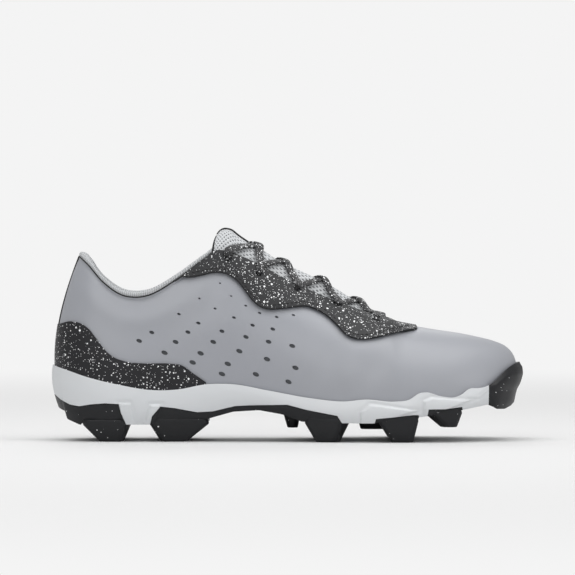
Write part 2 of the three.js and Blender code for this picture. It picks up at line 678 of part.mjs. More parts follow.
// A flat slab over the floor of the last, just inside the upper
function insoleGeometry() {
  const skin = new Skin();
  const inset = -(upperWall + insoleClearance);
  const levelAt = (round, lift) => {
    const { foot } = section(round);
    const point = wall(round, crossing(round, () => foot.z + lift, inset), inset);
    point.z = foot.z + lift;
    return point;
  };
  const count = loopRounds.length;
  const lows = loopRounds.map((round) => levelAt(round, gap));
  const tops = loopRounds.map((round) => levelAt(round, insoleThickness));
  const mirror = (k) => (count - k) % count;
  for (let i = 0; i < count; i += 1) {
    const next = (i + 1) % count;
    skin.quad(lows[i], lows[next], tops[next], tops[i]);
  }
  for (let i = 0; i < perSide; i += 1) {
    skin.quad(lows[i], lows[mirror(i)], lows[mirror(i + 1)], lows[i + 1]);
    skin.quad(tops[i + 1], tops[mirror(i + 1)], tops[mirror(i)], tops[i]);
  }
  return skin.geometry();
}

// One section of the tongue, from under the outer side over the crest to under the inner side
function tongueSection(round, sink, lean) {
  const offset = -(upperWall + tongueClearance + sink);
  const wing = (side, i) => wall(side, 1 - tongueWing * (1 - i / wingSteps), offset);
  const points = [];
  for (let i = 0; i <= wingSteps; i += 1) points.push(wing(round, i));
  const left = points[wingSteps];
  const right = wall(2 - round, 1, offset);
  const opening = right.y - left.y;
  const crest = left.clone().add(right).multiplyScalar(0.5);
  const full = lineHeight(tongueLine, (crest.x + lean) / shoeLength, instepHeight) - sink;
  const raised = THREE.MathUtils.smoothstep(opening, crownFrom, crownFull);
  crest.z = THREE.MathUtils.lerp(crest.z, full, raised);
  crest.x += lean;
  const lead = (end, side) => {
    const tangent = end.clone().sub(wall(side, crownSlope, offset)).normalize();
    return end.clone().addScaledVector(tangent, opening * crownLead);
  };
  const across = new THREE.Vector3(0, opening * crownFlat, 0);
  const rising = new THREE.CubicBezierCurve3(left, lead(left, round), crest.clone().sub(across), crest);
  const falling = new THREE.CubicBezierCurve3(crest, crest.clone().add(across), lead(right, 2 - round), right);
  for (let i = 1; i <= crestSteps; i += 1) points.push(rising.getPoint(i / crestSteps));
  for (let i = 1; i <= crestSteps; i += 1) points.push(falling.getPoint(i / crestSteps));
  for (let i = wingSteps - 1; i >= 0; i -= 1) points.push(wing(2 - round, i));
  return points;
}

function tongueGeometry() {
  const skin = new Skin();
  const rounds = loopRounds.filter((round) => round >= tongueTop && round <= tongueTip);
  const leanOf = (i) => tongueLean * Math.max(0, 1 - i / 2);
  const tops = rounds.map((round, i) => tongueSection(round, 0, leanOf(i)));
  const unders = rounds.map((round, i) => tongueSection(round, tongueThickness, leanOf(i)));
  skin.sheet(tops);
  skin.sheet(unders.map((points) => [...points].reverse()));
  const last = rounds.length - 1;
  const width = tops[0].length - 1;
  for (let j = 0; j < width; j += 1) {
    skin.quad(tops[0][j], tops[0][j + 1], unders[0][j + 1], unders[0][j]);
    skin.quad(unders[last][j], unders[last][j + 1], tops[last][j + 1], tops[last][j]);
  }
  for (let i = 0; i < last; i += 1) {
    skin.quad(unders[i][0], unders[i + 1][0], tops[i + 1][0], tops[i][0]);
    skin.quad(tops[i][width], tops[i + 1][width], unders[i + 1][width], unders[i][width]);
  }
  return skin.geometry();
}

// The padded roll that sits on the collar's rim and reaches down inside
function collarGeometry() {
  const skin = new Skin();
  const inside = upperWall + collarClearance;
  const rounds = [];
  let caps = [];
  for (let k = -collarStations; k <= collarStations; k += 1) rounds.push(k / perSide);
  const rings = rounds.map((round) => {
    const { foot, rim } = section(round);
    const depth = collarDepth / foot.distanceTo(rim);
    const outline = collarOutline.map((row) => {
      const above = row.roll * collarRoll / wallLead;
      const up = row.roll > 0 ? 1 + above : 1 - Math.max(row.depth * depth, 1e-4);
      return [up, row.out * collarPad - (row.from === 'wall' ? 0 : inside)];
    });
    const flat = outline.map(([up, offset]) => new THREE.Vector2(up * collarDepth, offset));
    caps = THREE.ShapeUtils.triangulateShape(flat, []);
    const ring = outline.map(([up, offset]) => wall(round, up, offset));
    return [...ring, ring[0]];
  });
  skin.sheet(rings);
  const first = rings[0];
  const end = rings[rings.length - 1];
  for (const [a, b, c] of caps) {
    skin.triangle(first[a], first[c], first[b]);
    skin.triangle(end[a], end[b], end[c]);
  }
  return skin.geometry();
}

// The opening of collar and throat seen from above, as an upright prism
function openingPrism() {
  const open = loopRounds.filter((round) => !onRidge(round));
  const front = loopRounds.find((round) => onRidge(round));
  const ahead = open.filter((round) => round < 1);
  const back = open.filter((round) => round > 1);
  const shape = new THREE.Shape([...ahead, front, ...back].map((round) => {
    const point = wall(round, 1, 0);
    return new THREE.Vector2(point.x, point.y);
  }));
  return toSolid(new THREE.ExtrudeGeometry(shape, { depth: 2 * instepHeight, bevelEnabled: false }));
}

// The layer that the overlays are cut from, just outside the upper
function layerOver() {
  const outer = toSolid(lastForm(gap + overlayThickness, gap, 0));
  return outer.subtract(toSolid(lastForm(gap, 2 * gap, cutReach))).subtract(openingPrism());
}

// Where a point of the side view lies on the wall, on the outer side
function placeOnWall(along, high) {
  let round = roundAt('rimX', along);
  let up = 1;
  for (let i = 0; i < searchSteps / 2; i += 1) {
    up = crossing(round, () => high * instepHeight);
    round += (along * shoeLength - wall(round, up, 0).x) / (roundPace * shoeLength);
  }
  return { round, up };
}

function eyeletHole(round, up) {
  const hole = new THREE.CylinderGeometry(eyeletRadius, eyeletRadius, eyeletDepth, holeSides);
  const turn = new THREE.Quaternion().setFromUnitVectors(new THREE.Vector3(0, 1, 0), wallNormal(round, up));
  const at = wall(round, up, 0);
  hole.applyMatrix4(new THREE.Matrix4().compose(at, turn, new THREE.Vector3(1, 1, 1)));
  return toSolid(hole);
}

// A flat lace through a list of { at, up } places, where up is the way its face looks
function laceStrip(path) {
  const skin = new Skin();
  const rings = path.map(({ at, up }, i) => {
    const before = path[Math.max(i - 1, 0)].at;
    const after = path[Math.min(i + 1, path.length - 1)].at;
    const ahead = after.clone().sub(before).normalize();
    const side = up.clone().cross(ahead).normalize();
    const top = ahead.clone().cross(side).normalize();
    const ring = Array.from({ length: laceSides }, (_, k) => {
      const angle = 2 * Math.PI * k / laceSides;
      return at.clone().addScaledVector(side, Math.cos(angle) * laceWidth / 2)
        .addScaledVector(top, Math.sin(angle) * laceThickness / 2);
    });
    return [...ring, ring[0]];
  });
  skin.sheet(rings);
  const start = rings[0];
  const end = rings[rings.length - 1];
  for (let i = 1; i < laceSides - 1; i += 1) {
    skin.triangle(start[0], start[i], start[i + 1]);
    skin.triangle(end[0], end[i + 1], end[i]);
  }
  return toSolid(skin.geometry());
}

// A lace's half crossing: from the throat beside a lower eyelet, over the tongue, to the higher one across
function laceBar(lower, higher, flip) {
  const stand = laceClearance + laceThickness / 2;
  const over = 2 * gap + overlayThickness + stand;
  const far = (round) => (flip ? round : 2 - round);
  const middle = wingSteps + crestSteps;
  const onTongue = ({ share, across }) => {
    const points = tongueSection(THREE.MathUtils.lerp(lower.round, higher.round, share), 0, 0);
    const at = points[middle + Math.round(across * (flip ? -1 : 1) * crestSteps)].clone();
    const up = new THREE.Vector3(0, (flip ? -1 : 1) * across * crossingTilt, 1).normalize();
    return { at: at.addScaledVector(up, stand), up };
  };
  const rim = far(THREE.MathUtils.lerp(lower.round, higher.round, crossingRim));
  const stop = far(higher.round);
  const short = THREE.MathUtils.lerp(higher.up, 1, crossingStop);
  return laceStrip([
    ...crossingPlaces.map(onTongue),
    { at: wall(rim, 1, over), up: wallNormal(rim, 1) },
    { at: wall(stop, short, over), up: wallNormal(stop, short) },
  ]);
}

// The bar at the bottom: from under one edge of the throat over the tongue to under the other
function bottomBar(along) {
  const points = tongueSection(roundAt('rimX', along), 0, 0);
  const stand = laceClearance + laceThickness / 2;
  const middle = wingSteps + crestSteps;
  return laceStrip([-2, -1, 0, 1, 2].map((step) => {
    const up = new THREE.Vector3(0, barTilt * step / 2, 1).normalize();
    return { at: points[middle + step].clone().addScaledVector(up, stand), up };
  }));
}

// Upper, with its eyelets punched through, and the layers over it
const places = eyelets.map(({ along, high }) => placeOnWall(along, high));
let upper = toSolid(shell(loopRounds, () => 0, () => 1, -upperWall, 0, wallSteps, true));
const top = 2 * instepHeight;
const eyestayEdge = linePoints(eyestayLine, instepHeight);
let eyestay = layerOver().intersect(sidePrism([
  ...eyestayEdge, [eyestayEdge[eyestayEdge.length - 1][0], top], [eyestayEdge[0][0], top],
]));
for (const { round, up } of places) {
  for (const side of [round, 2 - round]) {
    upper = upper.subtract(eyeletHole(side, up));
    eyestay = eyestay.subtract(eyeletHole(side, up));
  }
}
const below = -2 * heelFloor;
const underLine = (points) => sidePrism([[points[0][0], below], ...points, [points[points.length - 1][0], below]]);
const lipTop = linePoints(lipLine, heelFloor).map(([x, z]) => [x, z + lipClearance]);
const counterLayer = layerOver().intersect(underLine(linePoints(counterLine, heelHeight)));
const counter = counterLayer.subtract(underLine(lipTop));

// Sole: one outer form, split along the side line into midsole and outsole
const hollow = toSolid(lastForm(gap, gap, hollowReach));
const sole = soleForm(0);
const splitPoints = linePoints(splitLine, heelFloor);
const rubberPrism = underLine(splitPoints);
let rubber = sole;
for (const stud of studs) {
  rubber = rubber.add(edgeStud(stud, 'outer')).add(edgeStud(stud, 'inner'));
}
for (const stud of centreStuds) rubber = rubber.add(centreStud(stud));
const outsole = rubber.intersect(rubberPrism).subtract(hollow);
const proud = soleForm(panelRise);
let swollen = sole;
for (const { corners } of sidePanels) {
  const outline = corners.map((corner) => [corner.along * shoeLength, corner.high * heelFloor]);
  swollen = swollen.add(proud.intersect(sidePrism(outline)));
}
let midsole = swollen.subtract(hollow);
for (const shift of [-gap, gap]) midsole = midsole.subtract(rubberPrism.translate(shift, 0, gap));

addPiece('outsole', toGeometry(outsole), material.rubber);
addPiece('midsole', toGeometry(midsole), material.foam);
addPiece('upper', toGeometry(upper), material.synthetic);
addPiece('insole', insoleGeometry(), material.mesh);
addPiece('tongue', tongueGeometry(), material.mesh);
addPiece('collar', collarGeometry(), material.mesh);
addPiece('eyestay', toGeometry(eyestay), material.speckled);
addPiece('heel_counter', toGeometry(counter), material.speckled);
for (let i = 0; i < places.length - 1; i += 1) {
  const crossingOf = laceBar(places[i + 1], places[i], false).add(laceBar(places[i + 1], places[i], true));
  addPiece(`lace_crossing_${i + 1}`, toGeometry(crossingOf), material.lace);
}

addPiece('lace_bar', toGeometry(bottomBar(barPlace)), material.lace);

// The origin is on the ground under the middle of the shoe
const box = new THREE.Box3().setFromObject(group);
const middle = box.getCenter(new THREE.Vector3());
group.position.set(-middle.x, -middle.y, -box.min.z);

export default group;
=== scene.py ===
import math

import bpy
import numpy as np
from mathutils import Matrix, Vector


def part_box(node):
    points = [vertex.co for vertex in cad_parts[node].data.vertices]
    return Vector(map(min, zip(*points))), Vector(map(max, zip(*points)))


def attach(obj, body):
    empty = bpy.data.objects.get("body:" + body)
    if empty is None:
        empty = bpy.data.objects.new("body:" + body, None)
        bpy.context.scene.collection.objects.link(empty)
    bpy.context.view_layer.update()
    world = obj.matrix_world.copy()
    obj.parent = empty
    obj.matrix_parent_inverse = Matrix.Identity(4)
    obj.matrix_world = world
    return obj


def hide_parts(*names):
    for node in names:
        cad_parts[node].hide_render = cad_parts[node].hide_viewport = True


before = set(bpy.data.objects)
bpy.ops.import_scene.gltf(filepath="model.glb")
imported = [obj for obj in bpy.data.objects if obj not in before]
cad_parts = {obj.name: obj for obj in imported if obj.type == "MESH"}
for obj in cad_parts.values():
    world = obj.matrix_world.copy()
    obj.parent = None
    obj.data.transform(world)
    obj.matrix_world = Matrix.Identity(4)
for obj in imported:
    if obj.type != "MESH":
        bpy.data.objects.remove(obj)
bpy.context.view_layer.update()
print("frame loaded")

# The last, in millimetres from the back of the heel: x to the toe, y to the inner side, z up.
shoe = {
    "length": 300, "ballWidth": 94, "heelWidth": 64,
    "heelHeight": 117, "instepHeight": 121, "toeHeight": 60.5,
    "heelFloor": 26, "ballFloor": 19, "toeSpring": 9, "wall": 1.8,
}

# A row for each section: where its foot and its rim are along the shoe, the foot's two half widths,
# the rim's middle and half opening, the height its rim is a share of, and how the wall leaves both ends.
lastColumns = ("foot", "rim", "outer", "inner", "rimMid", "rimHalf", "of", "high",
               "flare", "rise", "shoulder", "drop")
lastRows = (
    (0.020, 0.059, 0.000, 0.000, 0.000, 0.000, "heelHeight", 1.000, 8, 0.34, 12, 0.34),
    (0.030, 0.063, 0.460, 0.460, 0.000, 0.270, "heelHeight", 0.990, 7, 0.34, 11, 0.34),
    (0.061, 0.081, 0.790, 0.800, 0.000, 0.520, "heelHeight", 0.948, 5, 0.34, 8, 0.33),
    (0.107, 0.112, 0.950, 0.960, 0.005, 0.695, "heelHeight", 0.858, 4, 0.34, 6, 0.32),
    (0.165, 0.155, 0.990, 0.990, 0.005, 0.815, "heelHeight", 0.789, 4, 0.34, 4, 0.32),
    (0.228, 0.207, 0.970, 0.930, 0.000, 0.850, "heelHeight", 0.792, 5, 0.34, 3, 0.32),
    (0.290, 0.265, 0.930, 0.840, 0.000, 0.790, "heelHeight", 0.876, 6, 0.34, 5, 0.30),
    (0.343, 0.323, 0.900, 0.760, -0.005, 0.665, "heelHeight", 0.985, 7, 0.36, 8, 0.27),
    (0.383, 0.355, 0.880, 0.710, -0.005, 0.555, "instepHeight", 0.998, 7, 0.38, 11, 0.22),
    (0.433, 0.413, 0.870, 0.690, -0.005, 0.435, "instepHeight", 0.952, 7, 0.40, 13, 0.17),
    (0.513, 0.500, 0.900, 0.740, 0.000, 0.320, "instepHeight", 0.838, 6, 0.44, 17, 0.14),
    (0.590, 0.583, 0.960, 0.850, 0.010, 0.240, "instepHeight", 0.743, 5, 0.48, 20, 0.11),
    (0.660, 0.660, 1.000, 0.960, 0.022, 0.215, "instepHeight", 0.672, 5, 0.52, 24, 0.08),
    (0.715, 0.714, 1.000, 1.020, 0.040, 0.185, "instepHeight", 0.633, 5, 0.55, 25, 0.04),
    (0.752, 0.738, 0.990, 1.045, 0.045, 0.000, "instepHeight", 0.613, 5, 0.56, 27, 0),
    (0.815, 0.808, 0.930, 1.040, 0.065, 0.000, "toeHeight", 1.165, 5, 0.56, 27, 0),
    (0.876, 0.866, 0.780, 0.960, 0.090, 0.000, "toeHeight", 1.120, 5, 0.54, 24, 0),
    (0.923, 0.913, 0.560, 0.820, 0.120, 0.000, "toeHeight", 1.070, 5, 0.50, 20, 0.02),
    (0.953, 0.941, 0.280, 0.600, 0.150, 0.000, "toeHeight", 1.030, 6, 0.46, 15, 0.06),
    (0.966, 0.953, 0.040, 0.380, 0.165, 0.000, "toeHeight", 1.008, 7, 0.42, 12, 0.12),
    (0.970, 0.957, -0.175, 0.175, 0.175, 0.000, "toeHeight", 1.000, 8, 0.40, 11, 0.15),
)

# Side lines: pairs of a share of the length and a share of the named height.
lipLine = ("heelFloor", (
    (0.000, 1.85), (0.030, 1.75), (0.075, 1.58), (0.140, 1.40), (0.215, 1.26), (0.265, 1.27), (0.330, 1.40),
    (0.385, 1.40), (0.460, 1.25), (0.550, 1.07), (0.620, 1.00), (0.665, 1.05), (0.725, 1.00), (0.757, 1.05),
    (0.778, 1.20), (0.792, 1.22), (0.825, 1.12), (0.857, 1.11), (0.868, 1.17), (0.882, 1.29), (0.905, 1.31),
    (0.925, 1.37), (0.945, 1.54), (0.965, 1.75), (0.985, 1.88), (1.000, 1.92)))
splitLine = ("heelFloor", (
    (-0.020, 1.20), (0.000, 1.17), (0.020, 1.00), (0.040, 0.89), (0.060, 0.85), (0.085, 0.90), (0.115, 0.93),
    (0.144, 0.91), (0.149, 0.69), (0.162, 0.36), (0.180, 0.36), (0.209, 0.36), (0.214, 0.61), (0.232, 0.85),
    (0.263, 0.81), (0.310, 0.71), (0.342, 0.73), (0.390, 0.86), (0.420, 0.88), (0.500, 0.90), (0.540, 0.78),
    (0.605, 0.64), (0.618, 0.40), (0.640, 0.40), (0.682, 0.40), (0.686, 0.57), (0.726, 0.61), (0.764, 0.66),
    (0.776, 0.66), (0.780, 0.50), (0.792, 0.50), (0.797, 0.80), (0.832, 0.80), (0.868, 0.85), (0.873, 0.60),
    (0.920, 0.60), (0.9245, 0.60), (0.9265, 2.60), (1.020, 2.60)))
plateLine = ("heelFloor", (
    (0.000, 0.90), (0.015, 0.80), (0.029, 0.73), (0.034, 0.54), (0.063, 0.40), (0.067, 0.45), (0.120, 0.42),
    (0.250, 0.42), (0.310, 0.48), (0.345, 0.60), (0.385, 0.73), (0.440, 0.77), (0.490, 0.67), (0.530, 0.50),
    (0.600, 0.47), (0.680, 0.47), (0.730, 0.53), (0.780, 0.62), (0.840, 0.72), (0.890, 0.83), (0.925, 0.90),
    (0.938, 0.79), (0.955, 0.78), (0.968, 0.85), (1.000, 1.20)))
counterLine = ("heelHeight", (
    (-0.010, 0.625), (0.012, 0.632), (0.041, 0.650), (0.062, 0.640), (0.080, 0.610), (0.096, 0.560),
    (0.112, 0.505), (0.130, 0.464), (0.160, 0.434), (0.193, 0.425), (0.250, 0.423), (0.279, 0.411),
    (0.301, 0.370), (0.325, 0.327), (0.340, 0.300)))
eyestayLine = ("instepHeight", (
    (0.262, 0.880), (0.292, 0.866), (0.320, 0.876), (0.345, 0.890), (0.362, 0.889), (0.380, 0.872),
    (0.396, 0.842), (0.411, 0.798), (0.426, 0.747), (0.442, 0.713), (0.462, 0.698), (0.485, 0.701),
    (0.512, 0.708), (0.540, 0.712), (0.562, 0.695), (0.582, 0.666), (0.603, 0.621), (0.623, 0.569),
    (0.641, 0.547), (0.660, 0.543), (0.686, 0.551), (0.712, 0.566), (0.740, 0.580), (0.772, 0.592)))
tongueLine = ("instepHeight", (
    (0.3445, 1.045), (0.349, 1.072), (0.3555, 1.095), (0.362, 1.105), (0.373, 1.1045), (0.3843, 1.0925),
    (0.3915, 1.077), (0.420, 1.031), (0.455, 0.988), (0.481, 0.941),
    (0.518, 0.900), (0.553, 0.860), (0.600, 0.800), (0.650, 0.722), (0.700, 0.652), (0.730, 0.617)))
eyelets = ((0.374, 0.953), (0.439, 0.875), (0.518, 0.795), (0.604, 0.711), (0.687, 0.630))


def smooth(value, low, high):
    share = np.clip((value - low) / (high - low), 0, 1)
    return share * share * (3 - 2 * share)


def lineHeight(line, along):
    size, points = line
    return np.interp(along, [p[0] for p in points], [p[1] for p in points]) * shoe[size]


# The same line as a smooth curve through its points
def curveHeight(line, along):
    size, points = line
    xs, ys = np.array(points, dtype=float).T
    slopes = np.gradient(ys, xs)
    at = np.clip(np.asarray(along, dtype=float), xs[0], xs[-1])
    i = np.clip(np.searchsorted(xs, at) - 1, 0, len(xs) - 2)
    wide = xs[i + 1] - xs[i]
    t = (at - xs[i]) / wide
    start = (1 + 2 * t) * (1 - t) ** 2 * ys[i] + t * (1 - t) ** 2 * wide * slopes[i]
    end = t * t * (3 - 2 * t) * ys[i + 1] + t * t * (t - 1) * wide * slopes[i + 1]
    return (start + end) * shoe[size]


def halfWidth(along):
    return (shoe["heelWidth"] + (shoe["ballWidth"] - shoe["heelWidth"]) * smooth(along, 0.3, 0.7)) / 2


def floorHeight(along):
    flat = shoe["heelFloor"] + (shoe["ballFloor"] - shoe["heelFloor"]) * smooth(along, 0.22, 0.62)
    return flat + shoe["toeSpring"] * np.clip((along - 0.7) / 0.3, 0, 1) ** 2


def sectionTable():
    table = []
    for side, sign in (("outer", -1), ("inner", 1)):
        rows = []
        for values in lastRows:
            row = dict(zip(lastColumns, values))
            rimWide = halfWidth(row["rim"])
            rows.append((row["foot"] * shoe["length"], sign * row[side] * halfWidth(row["foot"]),
                         floorHeight(row["foot"]), row["rim"] * shoe["length"], row["rimMid"] * rimWide,
                         sign * row["rimHalf"] * rimWide, row["high"] * shoe[row["of"]],
                         row["flare"], row["rise"], row["shoulder"], row["drop"]))
        table += rows if side == "outer" else rows[-2:0:-1]
    return np.array(table, dtype=float)


sections = sectionTable()
perSide = len(lastRows) - 1


# round runs from 0 at the heel, by the outer side to 1 at the toe, and back by the inner side to 2
def readSections(rounds):
    count = len(sections)
    at = np.mod(rounds, 2) / 2 * count
    i = np.floor(at).astype(int)
    t = (at - i)[:, None]
    a, b, c, d = (sections[(i + k) % count] for k in (-1, 0, 1, 2))
    return b + 0.5 * t * (c - a + t * (2 * a - 5 * b + 4 * c - d + t * (3 * (b - c) + d - a)))


def unit(vectors):
    return vectors / np.maximum(np.linalg.norm(vectors, axis=1, keepdims=True), 1e-9)


def section(rounds):
    rounds = np.asarray(rounds, dtype=float)
    read = readSections(rounds)
    foot = read[:, 0:3]
    half = np.where(np.mod(rounds, 2) < 1, np.minimum(read[:, 5], 0), np.maximum(read[:, 5], 0))
    rim = np.stack([read[:, 3], read[:, 4] + half, read[:, 6]], axis=1)
    step = readSections(rounds + 0.004)[:, :2] - readSections(rounds - 0.004)[:, :2]
    out = unit(np.stack([step[:, 1], -step[:, 0], np.zeros(len(rounds))], axis=1))
    height = (rim[:, 2] - foot[:, 2])[:, None]
    up = np.array([[0.0, 0.0, 1.0]])
    low = foot + out * read[:, 7:8] + up * read[:, 8:9] * height
    high = rim + out * read[:, 9:10] - up * read[:, 10:11] * height
    return foot, rim, low, high, out


def bezier(a, b, c, d, t):
    t = np.asarray(t, dtype=float)[:, None]
    s = 1 - t
    return s ** 3 * a + 3 * s * s * t * b + 3 * s * t * t * c + t ** 3 * d


def bare(rounds, ups):
    foot, rim, low, high, _ = section(rounds)
    ups = np.asarray(ups, dtype=float)
    past = np.maximum(ups - 1, 0)[:, None] * 100
    return bezier(foot, low, high, rim, np.minimum(ups, 1)) + unit(rim - high) * past


def onRidge(rounds):
    rounds = np.asarray(rounds, dtype=float)
    apart = np.abs(section(rounds)[1][:, 1] - section(2 - rounds)[1][:, 1])
    return (np.abs(np.mod(rounds, 2) - 1) < 0.5) & (apart < 1e-6)


def wallNormal(rounds, ups):
    step = 0.003
    at = np.clip(ups, step, 1 - step)
    along = bare(rounds + step, at) - bare(rounds - step, at)
    rising = bare(rounds, at + step) - bare(rounds, at - step)
    return unit(np.cross(along, rising))


# A point on the wall: up is 0 at the foot and 1 at the rim, and offset is how far out it stands
def wall(rounds, ups, offset):
    rounds = np.asarray(rounds, dtype=float)
    ups = np.broadcast_to(np.asarray(ups, dtype=float), rounds.shape).copy()
    offset = np.broadcast_to(np.asarray(offset, dtype=float), rounds.shape)[:, None]
    normal = wallNormal(rounds, ups)
    onCentre = np.abs(np.mod(rounds + 0.5, 1) - 0.5) < 1e-6
    shared = (onCentre | ((ups > 0.999) & onRidge(rounds)))[:, None]
    other = wallNormal(2 - rounds, ups)
    normal = np.where(shared, unit(normal + other), normal)
    return bare(rounds, ups) + normal * offset


# How far up the wall meets a height, given as a function of the share of the length
def crossing(rounds, heightAt, offset=0.0):
    rounds = np.asarray(rounds, dtype=float)
    low = np.zeros(len(rounds))
    high = np.ones(len(rounds))
    top = wall(rounds, high, offset)
    under = top[:, 2] < heightAt(top[:, 0] / shoe["length"])
    for _ in range(24):
        middle = (low + high) / 2
        point = wall(rounds, middle, offset)
        above = point[:, 2] > heightAt(point[:, 0] / shoe["length"])
        high = np.where(above, middle, high)
        low = np.where(above, low, middle)
    return np.where(under, 1.0, (low + high) / 2)


def roundAt(column, along):
    low, high = 0.0, 1.0
    for _ in range(30):
        middle = (low + high) / 2
        if readSections(np.array([middle]))[0][column] < along * shoe["length"]:
            low = middle
        else:
            high = middle
    return (low + high) / 2


# The frame's origin is under the middle of the whole shoe, so the upper tells where the last stands.
def lastToFrame():
    steps = np.arange(4 * perSide) / (2 * perSide)
    rounds = np.repeat(steps, 6)
    ups = np.tile(np.arange(6) / 5, len(steps))
    corner = wall(rounds, ups, 0).min(axis=0)
    low = np.array(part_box("upper")[0]) * 1000
    return np.array([low[0] - corner[0], low[1] - corner[1], 0.0])


shift = lastToFrame()
print("last stands at", [round(float(v), 3) for v in shift])


def toMetres(points):
    return (np.asarray(points) + shift) / 1000


def selectOnly(piece):
    bpy.ops.object.select_all(action="DESELECT")
    piece.select_set(True)
    bpy.context.view_layer.objects.active = piece


def applyModifier(piece, kind, **values):
    selectOnly(piece)
    modifier = piece.modifiers.new(kind.title(), kind)
    for name, value in values.items():
        setattr(modifier, name, value)
    bpy.ops.object.modifier_apply(modifier=modifier.name)


def bevelEdges(piece, width, angle, segments=2):
    applyModifier(piece, "BEVEL", width=width / 1000, segments=segments, limit_method="ANGLE",
                  angle_limit=math.radians(angle), use_clamp_overlap=True)


# A grid primitive laid through rows of points, merged where rows meet
def layGrid(name, rows, merge=0.00002):
    rows = np.asarray(rows)
    count, width = rows.shape[:2]
    bpy.ops.object.select_all(action="DESELECT")
    bpy.ops.mesh.primitive_grid_add(x_subdivisions=width - 1, y_subdivisions=count - 1, size=1)
    piece = bpy.context.object
    piece.name = name
    piece.data.vertices.foreach_set("co", toMetres(rows).astype(np.float32).ravel())
    piece.data.update()
    bpy.ops.object.mode_set(mode="EDIT")
    bpy.ops.mesh.select_all(action="SELECT")
    bpy.ops.mesh.remove_doubles(threshold=merge)
    bpy.ops.mesh.normals_make_consistent(inside=False)
    bpy.ops.object.mode_set(mode="OBJECT")
    return piece


# Rings closed by a point at both ends
def closeEnds(rings, first, last):
    count = rings.shape[1]
    start = np.repeat(np.reshape(first, (1, 1, 3)), count, axis=1)
    stop = np.repeat(np.reshape(last, (1, 1, 3)), count, axis=1)
    return np.concatenate([start, rings, stop])


# Two sides joined along the middle line, above and below
def layHalves(name, outer, inner):
    low = (outer[:, -1:] + inner[:, :1]) / 2
    top = (outer[:, :1] + inner[:, -1:]) / 2
    return layGrid(name, np.concatenate([top, outer, low, inner, top], axis=1))


def smoothShade(piece, angle=40):
    selectOnly(piece)
    bpy.ops.object.shade_smooth_by_angle(angle=math.radians(angle))


def joinPieces(pieces, name):
    bpy.ops.object.select_all(action="DESELECT")
    for piece in pieces:
        piece.select_set(True)
    bpy.context.view_layer.objects.active = pieces[0]
    if len(pieces) > 1:
        bpy.ops.object.join()
    joined = bpy.context.object
    joined.name = name
    return joined


def settle(piece, nodes, finish):
    if finish:
        piece.data.materials.clear()
        piece.data.materials.append(finish)
    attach(piece, "root")
    if nodes:
        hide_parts(*nodes)


def cut(piece, cutter, operation="DIFFERENCE"):
    applyModifier(piece, "BOOLEAN", object=cutter, operation=operation, solver="EXACT")
    mesh = cutter.data
    bpy.data.objects.remove(cutter)
    bpy.data.meshes.remove(mesh)


# Effects that several materials share
def newGroup(name, inputs, outputs):
    group = bpy.data.node_groups.new(name, "ShaderNodeTree")
    for kind, label, value in inputs:
        socket = group.interface.new_socket(label, in_out="INPUT", socket_type=kind)
        if value is not None:
            socket.default_value = value
    for kind, label in outputs:
        group.interface.new_socket(label, in_out="OUTPUT", socket_type=kind)
    start = group.nodes.new("NodeGroupInput")
    end = group.nodes.new("NodeGroupOutput")
    return group, start, end


def addMath(tree, operation, first, second=None):
    node = tree.nodes.new("ShaderNodeMath")
    node.operation = operation
    for socket, value in zip(node.inputs, (first, second)):
        if value is None:
            continue
        if isinstance(value, (int, float)):
            socket.default_value = value
        else:
            tree.links.new(value, socket)
    return node.outputs[0]


# White flecks of several sizes thrown over a dark ground
def makeSpeckleGroup():
    group, start, end = newGroup(
        "speckles",
        (("NodeSocketVector", "Place", None), ("NodeSocketFloat", "Amount", 0.4)),
        (("NodeSocketFloat", "Mask"),))
    total = None
    for scale, reach, keep in ((1300, 0.36, 0.26), (760, 0.36, 0.22), (420, 0.32, 0.26)):
        cells = group.nodes.new("ShaderNodeTexVoronoi")
        cells.inputs["Scale"].default_value = scale
        cells.inputs["Randomness"].default_value = 0.8
        group.links.new(start.outputs["Place"], cells.inputs["Vector"])
        colour = group.nodes.new("ShaderNodeSeparateColor")
        group.links.new(cells.outputs["Color"], colour.inputs[0])
        share = addMath(group, "ADD", addMath(group, "MULTIPLY", colour.outputs[1], 0.6), 0.4)
        size = addMath(group, "MULTIPLY", share, reach)
        dot = addMath(group, "LESS_THAN", cells.outputs["Distance"], size)
        limit = addMath(group, "MULTIPLY", start.outputs["Amount"], keep)
        kept = addMath(group, "LESS_THAN", colour.outputs[0], limit)
        spots = addMath(group, "MULTIPLY", dot, kept)
        total = spots if total is None else addMath(group, "MAXIMUM", total, spots)
    group.links.new(total, end.inputs["Mask"])
    return group


# Fine moulded or leather grain as a height
def makeGrainGroup():
    group, start, end = newGroup(
        "grain",
        (("NodeSocketVector", "Place", None), ("NodeSocketFloat", "Scale", 900.0)),
        (("NodeSocketFloat", "Height"), ("NodeSocketFloat", "Mottle")))
    fine = group.nodes.new("ShaderNodeTexNoise")
    fine.inputs["Detail"].default_value = 3
    group.links.new(start.outputs["Place"], fine.inputs["Vector"])
    group.links.new(start.outputs["Scale"], fine.inputs["Scale"])
    broad = group.nodes.new("ShaderNodeTexNoise")
    broad.inputs["Scale"].default_value = 14
    broad.inputs["Detail"].default_value = 1
    group.links.new(start.outputs["Place"], broad.inputs["Vector"])
    group.links.new(fine.outputs["Fac"], end.inputs["Height"])
    group.links.new(broad.outputs["Fac"], end.inputs["Mottle"])
    return group


